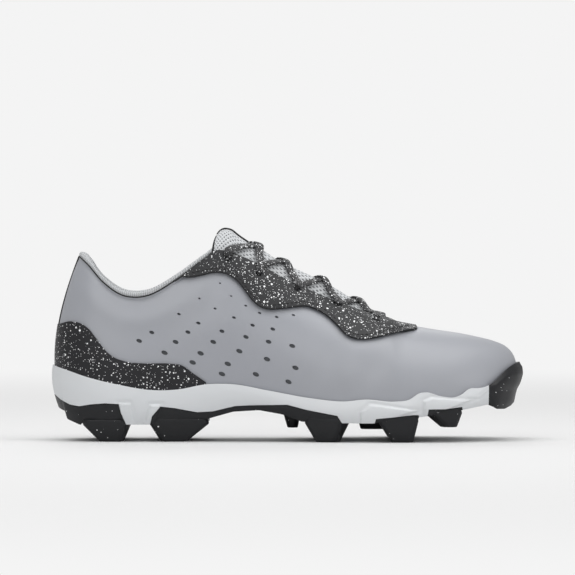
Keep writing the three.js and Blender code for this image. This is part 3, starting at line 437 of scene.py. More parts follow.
# Knitted or woven cells: two crossing waves
def makeWeaveGroup():
    group, start, end = newGroup(
        "weave",
        (("NodeSocketVector", "Place", None), ("NodeSocketFloat", "Across", 800.0),
         ("NodeSocketFloat", "Along", 800.0)),
        (("NodeSocketFloat", "Height"), ("NodeSocketFloat", "Gap")))
    parts = group.nodes.new("ShaderNodeSeparateXYZ")
    group.links.new(start.outputs["Place"], parts.inputs[0])
    first = addMath(group, "SINE", addMath(group, "MULTIPLY", parts.outputs[0], start.outputs["Across"]))
    second = addMath(group, "SINE", addMath(group, "MULTIPLY", parts.outputs[1], start.outputs["Along"]))
    cells = addMath(group, "MULTIPLY", first, second)
    height = addMath(group, "ADD", addMath(group, "MULTIPLY", cells, 0.5), 0.5)
    gapMask = addMath(group, "LESS_THAN", height, 0.27)
    group.links.new(height, end.inputs["Height"])
    group.links.new(gapMask, end.inputs["Gap"])
    return group


speckleGroup = makeSpeckleGroup()
grainGroup = makeGrainGroup()
weaveGroup = makeWeaveGroup()
print("shader groups built")


def newMaterial(name, colour, roughness, **settings):
    material = bpy.data.materials.new(name)
    material.use_nodes = True
    tree = material.node_tree
    shader = tree.nodes["Principled BSDF"]
    shader.inputs["Base Color"].default_value = (*colour, 1)
    shader.inputs["Roughness"].default_value = roughness
    for label, value in settings.items():
        shader.inputs[label].default_value = value
    return material, tree, shader


def placeNode(tree, output="Object", scale=(1, 1, 1)):
    coordinates = tree.nodes.new("ShaderNodeTexCoord")
    mapping = tree.nodes.new("ShaderNodeMapping")
    mapping.inputs["Scale"].default_value = scale
    tree.links.new(coordinates.outputs[output], mapping.inputs["Vector"])
    return mapping.outputs["Vector"]


def useGroup(tree, group, place, **values):
    node = tree.nodes.new("ShaderNodeGroup")
    node.node_tree = group
    tree.links.new(place, node.inputs["Place"])
    for label, value in values.items():
        node.inputs[label].default_value = value
    return node


def blendColours(tree, mask, first, second):
    mix = tree.nodes.new("ShaderNodeMix")
    mix.data_type = "RGBA"
    tree.links.new(mask, mix.inputs["Factor"])
    for socket, value in ((mix.inputs[6], first), (mix.inputs[7], second)):
        if isinstance(value, tuple):
            socket.default_value = (*value, 1)
        else:
            tree.links.new(value, socket)
    return mix.outputs[2]


def bumpFrom(tree, shader, height, strength, distance):
    bump = tree.nodes.new("ShaderNodeBump")
    bump.inputs["Strength"].default_value = strength
    bump.inputs["Distance"].default_value = distance
    tree.links.new(height, bump.inputs["Height"])
    tree.links.new(bump.outputs["Normal"], shader.inputs["Normal"])


def makeSyntheticMaterial():
    material, tree, shader = newMaterial("greySynthetic", (0.37, 0.38, 0.41), 0.42)
    shader.inputs["Coat Weight"].default_value = 0.22
    shader.inputs["Coat Roughness"].default_value = 0.38
    place = placeNode(tree)
    grain = useGroup(tree, grainGroup, place, Scale=1300.0)
    tint = blendColours(tree, grain.outputs["Mottle"], (0.315, 0.327, 0.362), (0.352, 0.361, 0.387))
    edge = tree.nodes.new("ShaderNodeAttribute")
    edge.attribute_name = "paintedStayShadow"
    # painted shadow: the upper's colour blends towards near-black along the eyestay's lower edge
    colour = blendColours(tree, edge.outputs["Fac"], tint, (0.060, 0.063, 0.072))
    tree.links.new(colour, shader.inputs["Base Color"])
    rough = addMath(tree, "ADD", addMath(tree, "MULTIPLY", grain.outputs["Height"], 0.12), 0.36)
    tree.links.new(rough, shader.inputs["Roughness"])
    bumpFrom(tree, shader, grain.outputs["Height"], 0.10, 0.0003)
    return material


def makeSpeckledMaterial(name, dark, light, amount, roughness, grainScale):
    material, tree, shader = newMaterial(name, dark, roughness)
    shader.inputs["Specular IOR Level"].default_value = 0.3
    place = placeNode(tree)
    spots = useGroup(tree, speckleGroup, place, Amount=amount)
    grain = useGroup(tree, grainGroup, place, Scale=grainScale)
    lift = tuple(min(1, 1.35 * value) for value in dark)
    ground = blendColours(tree, grain.outputs["Height"], dark, lift)
    colour = blendColours(tree, spots.outputs["Mask"], ground, light)
    tree.links.new(colour, shader.inputs["Base Color"])
    bumpFrom(tree, shader, grain.outputs["Height"], 0.22, 0.0003)
    return material


def makeFoamMaterial():
    material, tree, shader = newMaterial("whiteFoam", (0.64, 0.655, 0.67), 0.45)
    place = placeNode(tree)
    grain = useGroup(tree, grainGroup, place, Scale=1700.0)
    tint = blendColours(tree, grain.outputs["Mottle"], (0.62, 0.64, 0.66), (0.68, 0.695, 0.71))
    tree.links.new(tint, shader.inputs["Base Color"])
    bumpFrom(tree, shader, grain.outputs["Height"], 0.08, 0.0002)
    return material


def makeMeshMaterial(name, thread, hole, across, along, output="UV"):
    material, tree, shader = newMaterial(name, thread, 0.85)
    shader.inputs["Sheen Weight"].default_value = 0.25
    place = placeNode(tree, output)
    weave = useGroup(tree, weaveGroup, place, Across=across, Along=along)
    colour = blendColours(tree, weave.outputs["Gap"], thread, hole)
    tree.links.new(colour, shader.inputs["Base Color"])
    bumpFrom(tree, shader, weave.outputs["Height"], 0.7, 0.0006)
    return material


def makeLaceMaterial():
    material, tree, shader = newMaterial("wovenLace", (0.022, 0.022, 0.024), 0.75)
    shader.inputs["Sheen Weight"].default_value = 0.2
    place = placeNode(tree, "UV")
    weave = useGroup(tree, weaveGroup, place, Across=38.0, Along=2600.0)
    spots = useGroup(tree, speckleGroup, placeNode(tree), Amount=1.4)
    ground = blendColours(tree, weave.outputs["Height"], (0.007, 0.007, 0.008), (0.042, 0.042, 0.045))
    colour = blendColours(tree, spots.outputs["Mask"], ground, fleck)
    tree.links.new(colour, shader.inputs["Base Color"])
    bumpFrom(tree, shader, weave.outputs["Height"], 0.6, 0.0004)
    return material


synthetic = makeSyntheticMaterial()
fleck = (0.93, 0.94, 0.95)
speckledStay = makeSpeckledMaterial("speckledEyestay", (0.024, 0.0245, 0.026), fleck, 1.0, 0.5, 1500.0)
speckledHeel = makeSpeckledMaterial("speckledCounter", (0.014, 0.014, 0.016), fleck, 0.72, 0.5, 1500.0)
darkRubber = makeSpeckledMaterial("darkRubber", (0.010, 0.0105, 0.012), (0.70, 0.71, 0.72),
                                  0.03, 0.45, 1100.0)
whiteFoam = makeFoamMaterial()
liningMesh = makeMeshMaterial("liningMesh", (0.60, 0.615, 0.63), (0.13, 0.135, 0.14), 190.0, 560.0)
tongueMesh = makeMeshMaterial("tongueMesh", (0.60, 0.615, 0.63), (0.16, 0.165, 0.17), 230.0, 250.0)
footMesh = makeMeshMaterial("footMesh", (0.50, 0.51, 0.53), (0.30, 0.31, 0.32), 2600.0, 2600.0, "Object")
blackTrim, _, _ = newMaterial("blackTrim", (0.010, 0.010, 0.011), 0.6)
# floor of each blind punched hole: the backing seen through a real perforation, darkened with painted shade
holeBackingPaintedShade, _, _ = newMaterial("holeBackingPaintedShade", (0.10, 0.104, 0.112), 0.8)
laceWeave = makeLaceMaterial()
print("materials built")

# The upper: one hollow shell on the last
upperShape = {
    "rounds": 420, "rises": 48, "seamDip": 0.9, "seamReach": 7.0, "padSwell": 1.1, "padHeight": 17.0,
    "holeTilt": -22, "holeDepth": 1.1, "holeSmall": 0.75, "holeLarge": 2.15, "holeFlat": 0.62,
    # the last two set how far down and how dark the painted shadow under the eyestay reaches
    "merge": 0.00035, "paintedShadowReach": 3.2, "paintedShadowMost": 0.72,
}
# Punched holes: x from the heel and z from the ground, in millimetres
upperHoles = (
    (56.1, 63.9), (64.1, 69.2), (72.2, 56.4), (79.2, 63.2), (81.3, 80.7), (90.0, 50.2), (93.6, 75.1),
    (94.3, 90.5), (95.0, 56.0), (104.1, 84.3), (107.3, 100.3), (108.5, 70.0), (108.5, 42.9), (112.2, 49.3),
    (114.4, 92.2), (116.1, 78.6), (123.5, 86.1), (123.7, 66.4), (127.9, 73.8), (130.0, 42.7), (132.4, 81.5),
    (138.0, 63.4), (140.7, 71.4), (143.2, 79.0), (150.6, 38.1), (153.8, 80.2), (87.0, 69.4), (103.0, 63.2),
    (119.5, 57.4), (137.0, 52.4), (155.0, 47.0), (153.0, 60.8),
)
# Soft waves pressed into the side: centre x and z, direction in degrees, half length, half width, depth
upperWaves = (
    (176, 52, 62, 20, 7, -0.7), (190, 48, 64, 20, 6, 0.5), (204, 46, 60, 18, 6, -0.5),
    (60, 88, 15, 26, 8, -0.6), (34, 82, 75, 20, 6, -0.5), (100, 70, 20, 30, 9, 0.4),
)


# How far the upper's face stands off the plain last
def upperRelief(points, ups, closeness):
    x, z = points[:, 0], points[:, 2]
    reach = 0.45 * upperShape["seamReach"]
    relief = -upperShape["seamDip"] * np.exp(-(closeness / reach) ** 2) * (closeness > 0)
    collar = smooth(x, 5, 30) * (1 - smooth(x, 92, 108))
    rimGap = (1 - ups) * 80
    relief += upperShape["padSwell"] * collar * np.exp(-((rimGap - upperShape["padHeight"]) / 10) ** 2)
    relief -= 0.8 * collar * np.exp(-(rimGap / 3.2) ** 2)
    for centreX, centreZ, turn, halfLong, halfWide, depth in upperWaves:
        cos, sin = math.cos(math.radians(turn)), math.sin(math.radians(turn))
        along = (x - centreX) * cos + (z - centreZ) * sin
        across = -(x - centreX) * sin + (z - centreZ) * cos
        relief += depth * np.exp(-(along / halfLong) ** 2 - (across / halfWide) ** 2)
    return relief


def upperSheet(offset):
    rounds = np.arange(upperShape["rounds"] + 1) * 2 / upperShape["rounds"]
    ups = np.linspace(1, 0, upperShape["rises"] + 1)
    allRounds = np.repeat(rounds, len(ups))
    allUps = np.tile(ups, len(rounds))
    points = wall(allRounds, allUps, 0)
    edge = curveHeight(eyestayLine, points[:, 0] / shoe["length"])
    under = (edge - points[:, 2]) * 0.85
    near = smooth(points[:, 0], 74, 92) * (1 - smooth(points[:, 0], 222, 232))
    closeness = np.where((under > 0) & (near > 0), under, 999)
    relief = upperRelief(points, allUps, closeness)
    fade = smooth(allUps, 0.0, 0.2) * (1 - smooth(allUps, 0.985, 1.0))
    return wall(allRounds, allUps, offset + relief * fade).reshape(len(rounds), len(ups), 3)


# Where a point of the side view lies on the wall
def placeOnWall(x, z):
    along = x / shoe["length"]
    spot = roundAt(3, along)
    rise = 1.0
    for _ in range(14):
        rise = float(crossing([spot], lambda share: np.full(np.shape(share), float(z)))[0])
        spot += (x - wall([spot], rise, 0)[0][0]) / (2.2 * shoe["length"])
    return spot, rise


def punch(spot, rise, radius, flat, tilt, depth, reach, materials):
    at = Vector(toMetres(wall([spot], rise, 0)[0]))
    normal = Vector(wallNormal(np.array([spot]), np.array([rise]))[0])
    bpy.ops.object.select_all(action="DESELECT")
    bpy.ops.mesh.primitive_cylinder_add(vertices=20, radius=radius / 1000, depth=(depth + reach) / 1000)
    hole = bpy.context.object
    for material in materials:
        hole.data.materials.append(material)
    if len(materials) > 1:
        for face in hole.data.polygons:
            face.material_index = 1 if face.normal.z < -0.5 else 0
    turn = normal.to_track_quat("Z", "Y").to_matrix().to_4x4()
    bpy.ops.object.mode_set(mode="EDIT")
    bpy.ops.mesh.select_all(action="SELECT")
    bpy.ops.transform.resize(value=(1, flat, 1))
    bpy.ops.object.mode_set(mode="OBJECT")
    side = Vector((1, 0, 0)) if abs(normal.x) < 0.9 else Vector((0, 1, 0))
    level = (side - normal * side.dot(normal)).normalized()
    level.rotate(normal.to_track_quat("Z", "Y").inverted())
    spin = math.atan2(level.y, level.x) + math.radians(tilt)
    lift = (reach - depth) / 2000
    for vertex in hole.data.vertices:
        x, y, z = vertex.co
        flatPoint = Vector((x * math.cos(spin) - y * math.sin(spin),
                            x * math.sin(spin) + y * math.cos(spin), z + lift))
        vertex.co = turn.to_3x3() @ flatPoint + at
    return hole


# Painted shadow under the eyestay's lower edge: how far the upper's colour is darkened there, as a value on
# each corner of the mesh
def paintStayShadow(piece):
    mesh = piece.data
    places = np.empty(len(mesh.vertices) * 3)
    mesh.vertices.foreach_get("co", places)
    places = places.reshape(-1, 3) * 1000 - shift
    along = places[:, 0] / shoe["length"]
    step = 0.002
    slope = (curveHeight(eyestayLine, along + step) - curveHeight(eyestayLine, along - step)) / (
        2 * step * shoe["length"])
    under = (curveHeight(eyestayLine, along) - places[:, 2]) / np.sqrt(1 + slope ** 2)
    inside = smooth(places[:, 0], 76, 84) * (1 - smooth(places[:, 0], 224, 231)) * (under > -2)
    shade = upperShape["paintedShadowMost"] * inside * np.exp(-(np.maximum(under, 0) / upperShape["paintedShadowReach"]) ** 2)
    values = mesh.attributes.new("paintedStayShadow", "FLOAT", "POINT")
    values.data.foreach_set("value", shade.astype(np.float32))


eyeletShape = {"radius": 2.4, "reach": 8}


def eyeletPunches():
    reach = eyeletShape["reach"]
    cutters = []
    for along, high in eyelets:
        spot, rise = placeOnWall(along * shoe["length"], high * shoe["instepHeight"])
        for side in (spot, 2 - spot):
            cutters.append(punch(side, rise, eyeletShape["radius"], 1, 0, reach, reach, (blackTrim,)))
    return cutters


def makeUpper():
    piece = layGrid("upperShell", upperSheet(0), upperShape["merge"])
    applyModifier(piece, "SOLIDIFY", thickness=shoe["wall"] / 1000, offset=-1)
    piece.data.materials.append(synthetic)
    piece.data.materials.append(holeBackingPaintedShade)
    cutters = []
    for x, z in upperHoles:
        spot, rise = placeOnWall(x, z)
        share = float(smooth(z, 52, 96))
        radius = upperShape["holeLarge"] + (upperShape["holeSmall"] - upperShape["holeLarge"]) * share
        # each hole's wall keeps the upper's finish, and its floor takes the painted-shade finish
        for side, tilt in ((spot, upperShape["holeTilt"]), (2 - spot, -upperShape["holeTilt"])):
            cutters.append(punch(side, rise, radius, upperShape["holeFlat"], tilt,
                                 upperShape["holeDepth"], 3, (synthetic, holeBackingPaintedShade)))
    cut(piece, joinPieces(cutters + eyeletPunches(), "upperPunch"))
    smoothShade(piece, 45)
    # paints the shadow under the eyestay into the upper's colour
    paintStayShadow(piece)
    settle(piece, ("upper",), None)
    print("upper", len(piece.data.polygons))


stayShape = {"thick": 1.1, "stand": 0.05, "steps": 230, "rises": 16, "edge": 0.45,
             "rimStand": 0.45, "rimWide": 1.3, "rimThick": 1.2,
             "stitchIn": 2.3, "stitchPitch": 2.9, "stitchLong": 1.9, "stitchWide": 0.75}


def stayRounds():
    first = roundAt(3, eyestayLine[1][0][0])
    end = roundAt(3, eyestayLine[1][-1][0])
    return np.linspace(first, end, stayShape["steps"])


def stayColumns(offset):
    rounds = stayRounds()
    edge = crossing(rounds, lambda share: curveHeight(eyestayLine, share), offset)
    edge[0] = edge[-1] = 1.0
    shares = np.linspace(0, 1, stayShape["rises"])
    both = []
    for sideRounds, sideEdge in ((rounds, edge), (2 - rounds[::-1], edge[::-1])):
        ups = sideEdge[:, None] + (1 - sideEdge[:, None]) * shares[None, ::-1]
        points = wall(np.repeat(sideRounds, len(shares)), ups.ravel(), offset)
        both.append(points.reshape(len(sideRounds), len(shares), 3))
    return np.concatenate(both)


def makeEyestay():
    outer = stayShape["stand"] + stayShape["thick"]
    piece = layGrid("eyestayOverlay", stayColumns(outer), 0.00002)
    applyModifier(piece, "SOLIDIFY", thickness=stayShape["thick"] / 1000, offset=-1, use_even_offset=True)
    piece.data.materials.append(speckledStay)
    cut(piece, joinPieces(eyeletPunches(), "stayPunch"))
    bevelEdges(piece, stayShape["edge"], 55)
    smoothShade(piece, 50)
    settle(piece, ("eyestay",), None)
    print("eyestay", len(piece.data.polygons))


counterShape = {"thick": 1.1, "stand": 0.05, "steps": 240, "rises": 26, "edge": 0.4, "tuck": 3.0}


def makeCounter():
    outer = counterShape["stand"] + counterShape["thick"]
    reach = roundAt(0, counterLine[1][-2][0] + 0.004)
    rounds = np.linspace(-reach, reach, counterShape["steps"])
    top = crossing(rounds, lambda share: curveHeight(counterLine, share), outer)
    low = crossing(rounds, lambda share: curveHeight(lipLine, share) - counterShape["tuck"], outer)
    top = np.maximum(top, low + 0.004)
    shares = np.linspace(1, 0, counterShape["rises"])
    ups = low[:, None] + (top - low)[:, None] * shares[None, :]
    points = wall(np.repeat(rounds, len(shares)), ups.ravel(), outer).reshape(len(rounds), len(shares), 3)
    piece = layGrid("heelCounterOverlay", points, 0.00001)
    applyModifier(piece, "SOLIDIFY", thickness=counterShape["thick"] / 1000, offset=-1, use_even_offset=True)
    bevelEdges(piece, counterShape["edge"], 55)
    smoothShade(piece, 50)
    settle(piece, ("heel_counter",), speckledHeel)
    print("heel counter", len(piece.data.polygons))


# A flat oval swept along places, with the way its face looks at each place
def sweep(name, places, faces, width, thick, around=12):
    places = np.asarray(places, dtype=float)
    faces = np.asarray(faces, dtype=float)
    ahead = np.gradient(places, axis=0)
    ahead = unit(ahead)
    side = unit(np.cross(faces, ahead))
    top = np.cross(ahead, side)
    rows = []
    for k in range(around + 1):
        angle = 2 * math.pi * k / around
        rows.append(places + side * math.cos(angle) * width / 2 + top * math.sin(angle) * thick / 2)
    rings = np.stack(rows, axis=1)
    return layGrid(name, closeEnds(rings, places[0], places[-1]), 0.000005)


def settleTrim(piece):
    smoothShade(piece, 60)
    settle(piece, (), blackTrim)


# Short threads in a row along a path that lies on the last
def stitchRow(name, path, normals, pitch, longSize, wideSize, finish):
    steps = np.linalg.norm(np.diff(path, axis=0), axis=1)
    run = np.concatenate([[0], np.cumsum(steps)])
    starts = np.arange(pitch, run[-1] - pitch, pitch)
    rows = []
    for start in starts:
        at = np.linspace(start, start + longSize, 4)
        points = np.stack([np.interp(at, run, path[:, k]) for k in range(3)], axis=1)
        faces = np.stack([np.interp(at, run, normals[:, k]) for k in range(3)], axis=1)
        points += unit(faces) * np.array([-0.25, 0.12, 0.12, -0.25])[:, None]
        rows.append(sweep(name, points, faces, wideSize, wideSize, 6))
    piece = joinPieces(rows, name)
    smoothShade(piece, 60)
    settle(piece, (), finish)
    print(name, len(piece.data.polygons))


def makeStayStitches():
    outer = stayShape["stand"] + stayShape["thick"]
    rounds = stayRounds()[12:-6]
    lift = stayShape["stitchIn"]
    edge = crossing(rounds, lambda share: curveHeight(eyestayLine, share) + lift, outer)
    for label, sideRounds in (("outer", rounds), ("inner", 2 - rounds)):
        path = wall(sideRounds, edge, outer)
        normals = wallNormal(sideRounds, edge)
        stitchRow(label + "StayStitches", path, normals, stayShape["stitchPitch"], stayShape["stitchLong"],
                  stayShape["stitchWide"], blackTrim)


# A black tube along the eyestay's lower edge: the overlay's own dark side wall, thickened into a band of
# painted shade along the edge
def makeStayWallAndShade():
    rounds = stayRounds()
    edge = crossing(rounds, lambda share: curveHeight(eyestayLine, share), 0.4)
    edge[0] = edge[-1] = 1.0
    sides = np.concatenate([rounds, (2 - rounds[::-1])[1:]])
    ups = np.concatenate([edge, edge[::-1][1:]])
    path = wall(sides, ups, stayShape["rimStand"])
    path[:, 2] -= 0.25
    piece = sweep("eyestayWallAndShade", path, wallNormal(sides, ups), stayShape["rimWide"], stayShape["rimThick"], 8)
    settleTrim(piece)


makeUpper()
makeEyestay()
makeStayWallAndShade()
makeCounter()
makeStayStitches()

# The collar's padded mesh roll, with its lining down inside, and the dark piping under it
collarShape = {"reach": 15 / 40, "steps": 200, "outline": 54, "pipe": 0.9, "pipeSteps": 160}
# Outline of the roll: height above the rim and distance out from the wall, in millimetres
collarOutline = (
    (0.2, -0.2), (0.9, 0.55), (1.9, 0.75), (2.8, 0.2), (3.3, -1.0), (3.5, -2.4), (3.2, -4.2), (2.2, -5.8),
    (0.4, -7.0), (-3.0, -7.4), (-8.0, -7.3), (-14.0, -6.4), (-20.0, -4.4), (-24.0, -2.8), (-24.0, -2.3),
    (-12.0, -2.3), (-1.0, -2.3), (0.2, -2.2),
)


def collarRows(rounds, outline):
    foot, rim, _, _, _ = section(rounds)
    tall = np.linalg.norm(rim - foot, axis=1)
    rows = []
    for height, out in outline:
        ups = 1 + height / 100 if height > 0 else 1 + height / tall
        rows.append(wall(rounds, np.broadcast_to(ups, rounds.shape), out))
    return np.stack(rows, axis=1)


# Rounds off a closed outline by a smooth curve through its points
def smoothOutline(points, steps):
    points = np.array(points, dtype=float)
    count = len(points)
    at = np.arange(steps) / steps * count
    i = np.floor(at).astype(int)
    t = (at - i)[:, None]
    a, b, c, d = (points[(i + k) % count] for k in (-1, 0, 1, 2))
    curve = b + 0.5 * t * (c - a + t * (2 * a - 5 * b + 4 * c - d + t * (3 * (b - c) + d - a)))
    return np.concatenate([curve, curve[:1]])


def makeCollar():
    reach = collarShape["reach"]
    rounds = np.linspace(-reach, reach, collarShape["steps"])
    rows = collarRows(rounds, smoothOutline(collarOutline, collarShape["outline"]))
    rings = closeEnds(rows, rows[0].mean(axis=0), rows[-1].mean(axis=0))
    piece = layGrid("collarRoll", rings, 0.000005)
    smoothShade(piece, 60)
    settle(piece, ("collar",), liningMesh)
    wide = np.linspace(-reach, reach, collarShape["pipeSteps"])
    path = wall(wide, np.full(len(wide), 1.0), 0.15)
    faces = wallNormal(wide, np.full(len(wide), 0.99))
    pipe = sweep("collarPiping", path, faces, collarShape["pipe"], collarShape["pipe"], 8)
    settleTrim(pipe)
    print("collar", len(piece.data.polygons))


heelSeam = {"width": 2.6, "thick": 1.3, "steps": 50}


def makeHeelSeam():
    low = float(crossing([0.0], lambda share: curveHeight(counterLine, share), 0)[0])
    ups = np.linspace(low - 0.02, 0.998, heelSeam["steps"])
    rounds = np.zeros(len(ups))
    path = wall(rounds, ups, 0.15)
    faces = wallNormal(rounds + 1e-4, ups)
    piece = sweep("heelSeamTape", path, faces, heelSeam["width"], heelSeam["thick"])
    settleTrim(piece)


makeCollar()
makeHeelSeam()

# The tongue: a padded mesh strip over the instep with a bound edge at its top
tongueShape = {"thick": 3.2, "clearance": 0.95, "wing": 0.1, "lean": 2.0, "top": 0.386, "tip": 0.74,
               "wingSteps": 4, "crestSteps": 12, "rows": 110, "bind": 1.8}


def tongueSection(spot, sink, lean):
    offset = -(shoe["wall"] + tongueShape["clearance"] + sink)
    wings = 1 - tongueShape["wing"] * (1 - np.arange(tongueShape["wingSteps"] + 1) / tongueShape["wingSteps"])
    near = wall(np.full(len(wings), spot), wings, offset)
    far = wall(np.full(len(wings), 2 - spot), wings, offset)
    left, right = near[-1], far[-1]
    opening = right[1] - left[1]
    crest = (left + right) / 2
    full = curveHeight(tongueLine, (crest[0] + lean) / shoe["length"]) - sink
    crest = crest + np.array([lean, 0, 0])
    crest[2] = crest[2] + (full - crest[2]) * smooth(opening, 8, 18)

    def lead(end, side):
        tangent = unit((end - wall([side], 0.97, offset)[0])[None, :])[0]
        return end + tangent * opening * 0.22

    across = np.array([0, opening * 0.2, 0])
    steps = np.arange(1, tongueShape["crestSteps"] + 1) / tongueShape["crestSteps"]
    rising = bezier(left, lead(left, spot), crest - across, crest, steps)
    falling = bezier(crest, crest + across, lead(right, 2 - spot), right, steps)
    return np.concatenate([near, rising, falling, far[-2::-1]])


def tongueRows(sink):
    spots = np.linspace(tongueShape["top"], tongueShape["tip"], tongueShape["rows"])
    pace = 1 / (2 * perSide)
    rows = []
    for spot in spots:
        lean = tongueShape["lean"] * max(0.0, 1 - (spot - tongueShape["top"]) / (2 * pace))
        rows.append(tongueSection(spot, sink, lean))
    return np.array(rows)


cordShape = {"from": 105.2, "to": 130.0, "steps": 40, "aside": 3.5, "rest": 0.1, "lift": 0.9, "width": 1.2}


# The thin dark cord that runs taut from the tongue's top down to the first crossing of the lace
def makeTongueCord(top):
    crest = top[:, top.shape[1] // 2]
    low, high = cordShape["from"], cordShape["to"]
    along = np.linspace(low, high, cordShape["steps"])
    places = np.stack([np.interp(along, crest[:, 0], crest[:, k]) for k in range(3)], axis=1)
    share = (along - low) / (high - low)
    places[:, 1] += cordShape["aside"] * share
    places[:, 2] += cordShape["lift"] * np.sin(math.pi * share) + cordShape["rest"]
    faces = np.tile([0.0, 0.0, 1.0], (len(places), 1))
    cord = sweep("tongueCord", places, faces, cordShape["width"], cordShape["width"], 10)
    settleTrim(cord)


def makeTongue():
    top = tongueRows(0)
    under = tongueRows(tongueShape["thick"])
    # each ring runs over the top and back underneath, and both ends close to the middle line
    rings = np.concatenate([top, under[:, ::-1], top[:, :1]], axis=1)
    between = (top + under) / 2
    closeRing = np.concatenate([between, between[:, ::-1], between[:, :1]], axis=1)
    rows = np.concatenate([closeRing[:1], rings, closeRing[-1:]])
    piece = layGrid("tonguePad", rows, 0.000005)
    smoothShade(piece, 60)
    settle(piece, ("tongue",), tongueMesh)
    path = between[0, 2:-2]
    faces = unit(np.cross(np.gradient(path, axis=0), np.array([[1.0, 0, 0]])))
    bind = sweep("tongueBinding", path, faces, tongueShape["bind"], tongueShape["thick"] + 0.7)
    settleTrim(bind)
    makeTongueCord(top)
    print("tongue", len(piece.data.polygons))


makeTongue()

# One lace through all eyelets; both ends stop inside the top pair
laceShape = {"width": 5.6, "thick": 1.6, "holeWidth": 2.6, "holeRise": 0.011, "steps": 9, "clear": 0.35,
             "crossAt": (0.0, 0.04, 0.32, 0.35, 0.45), "barAt": 0.698}


def crestPoint(along, across):
    low, high = tongueShape["top"], tongueShape["tip"]
    for _ in range(22):
        middle = (low + high) / 2
        row = tongueSection(middle, 0, 0)
        if row[len(row) // 2][0] < along * shoe["length"]:
            low = middle
        else:
            high = middle
    row = tongueSection((low + high) / 2, 0, 0)
    centre = len(row) // 2
    at = centre + across * tongueShape["crestSteps"]
    i = int(np.clip(math.floor(at), 0, len(row) - 2))
    point = row[i] + (row[i + 1] - row[i]) * (at - i)
    face = np.array([0.25, 0.8 * across, 1.0])
    return point, face / np.linalg.norm(face)


def lacePath():
    spots = [placeOnWall(along * shoe["length"], high * shoe["instepHeight"]) for along, high in eyelets]
    top = stayShape["stand"] + stayShape["thick"] + laceShape["thick"] / 2 + 0.15
    under = -(shoe["wall"] + laceShape["thick"] / 2 + 0.2)
    tight = laceShape["width"] * 0.9
    pinched = laceShape["width"] * 0.8
    path = []

    def place(spot, rise, offset, width):
        path.append((wall([spot], rise, offset)[0],
                     wallNormal(np.array([spot]), np.array([min(rise, 0.99)]))[0], width))

    def sideSpot(k, side):
        spot, rise = spots[k]
        return (spot if side < 0 else 2 - spot), rise

    def over(along, across, lift):
        point, face = crestPoint(along, across)
        face = unit(face[None, :])[0]
        height = laceShape["clear"] + laceShape["thick"] / 2 + lift
        path.append((point + face * height, face, laceShape["width"]))

    # from the top of eyelet k over the crossing to the far side, where it dips under the edge
    def crossTo(k, side, lift, ends):
        spot, rise = sideSpot(k, side)
        farSpot, farRise = sideSpot(k - 1, -side)
        start, end = eyelets[k][0], eyelets[k - 1][0]
        place(spot, rise + 0.35 * (1 - rise), top + 0.1, tight)
        place(spot, 1.0, top + 0.3, laceShape["width"])
        share = laceShape["crossAt"][k]
        over(start + 0.5 * share * (end - start), side * 0.5, lift * 0.5)
        over(start + share * (end - start), 0, lift)
        over(start + (share + 0.5 * (1 - share)) * (end - start), -side * 0.5, lift * 0.5)
        if ends:
            place(farSpot, 1.0, top + 0.5, laceShape["width"])
            place(farSpot, farRise + 0.4 * (1 - farRise), top + 0.1, tight)
        else:
            place(farSpot, 1.0, -1.2, tight)

    def outOfHole(spot, up):
        place(spot, up + laceShape["holeRise"], under - 0.4, laceShape["holeWidth"] * 1.1)
        place(spot, up + laceShape["holeRise"], -0.3, laceShape["holeWidth"])
        place(spot, up + 0.045, top + 0.2, pinched)

    def rise(k, side):
        spot, up = sideSpot(k, side)
        place(spot, up + 0.35 * (1 - up), under, tight)
        outOfHole(spot, up)

    def topEnd(side):
        spot, up = sideSpot(0, side)
        place(spot, up + 0.05, top + 0.2, pinched)
        place(spot, up + laceShape["holeRise"], -0.3, laceShape["holeWidth"])
        place(spot, up, under - 0.6, laceShape["holeWidth"])

    strands = []
    for side in (-1, 1):
        path.clear()
        here = side
        spot, up = sideSpot(4, here)
        place(spot, 0.5 + up / 2, under, tight)
        outOfHole(spot, up)
        for k in (4, 3, 2, 1):
            lift = laceShape["thick"] if here < 0 else 0.0
            crossTo(k, here, lift, k == 1)
            here = -here
            if k > 1:
                rise(k - 1, here)
        topEnd(here)
        strands.append(list(path))
    # the bar over the tongue joins both strands, from under one edge to under the other
    path.clear()
    for across in (-0.8, -0.4, 0, 0.4, 0.8):
        over(laceShape["barAt"], across, 0.4)
    return strands[0][::-1] + list(path) + strands[1]


def smoothRun(values, steps):
    values = np.array(values, dtype=float)
    count = len(values)
    at = np.linspace(0, count - 1, (count - 1) * steps + 1)
    i = np.minimum(np.floor(at).astype(int), count - 2)
    t = (at - i)[:, None]
    a, b = values[np.maximum(i - 1, 0)], values[i]
    c, d = values[i + 1], values[np.minimum(i + 2, count - 1)]
    return b + 0.5 * t * (c - a + t * (2 * a - 5 * b + 4 * c - d + t * (3 * (b - c) + d - a)))


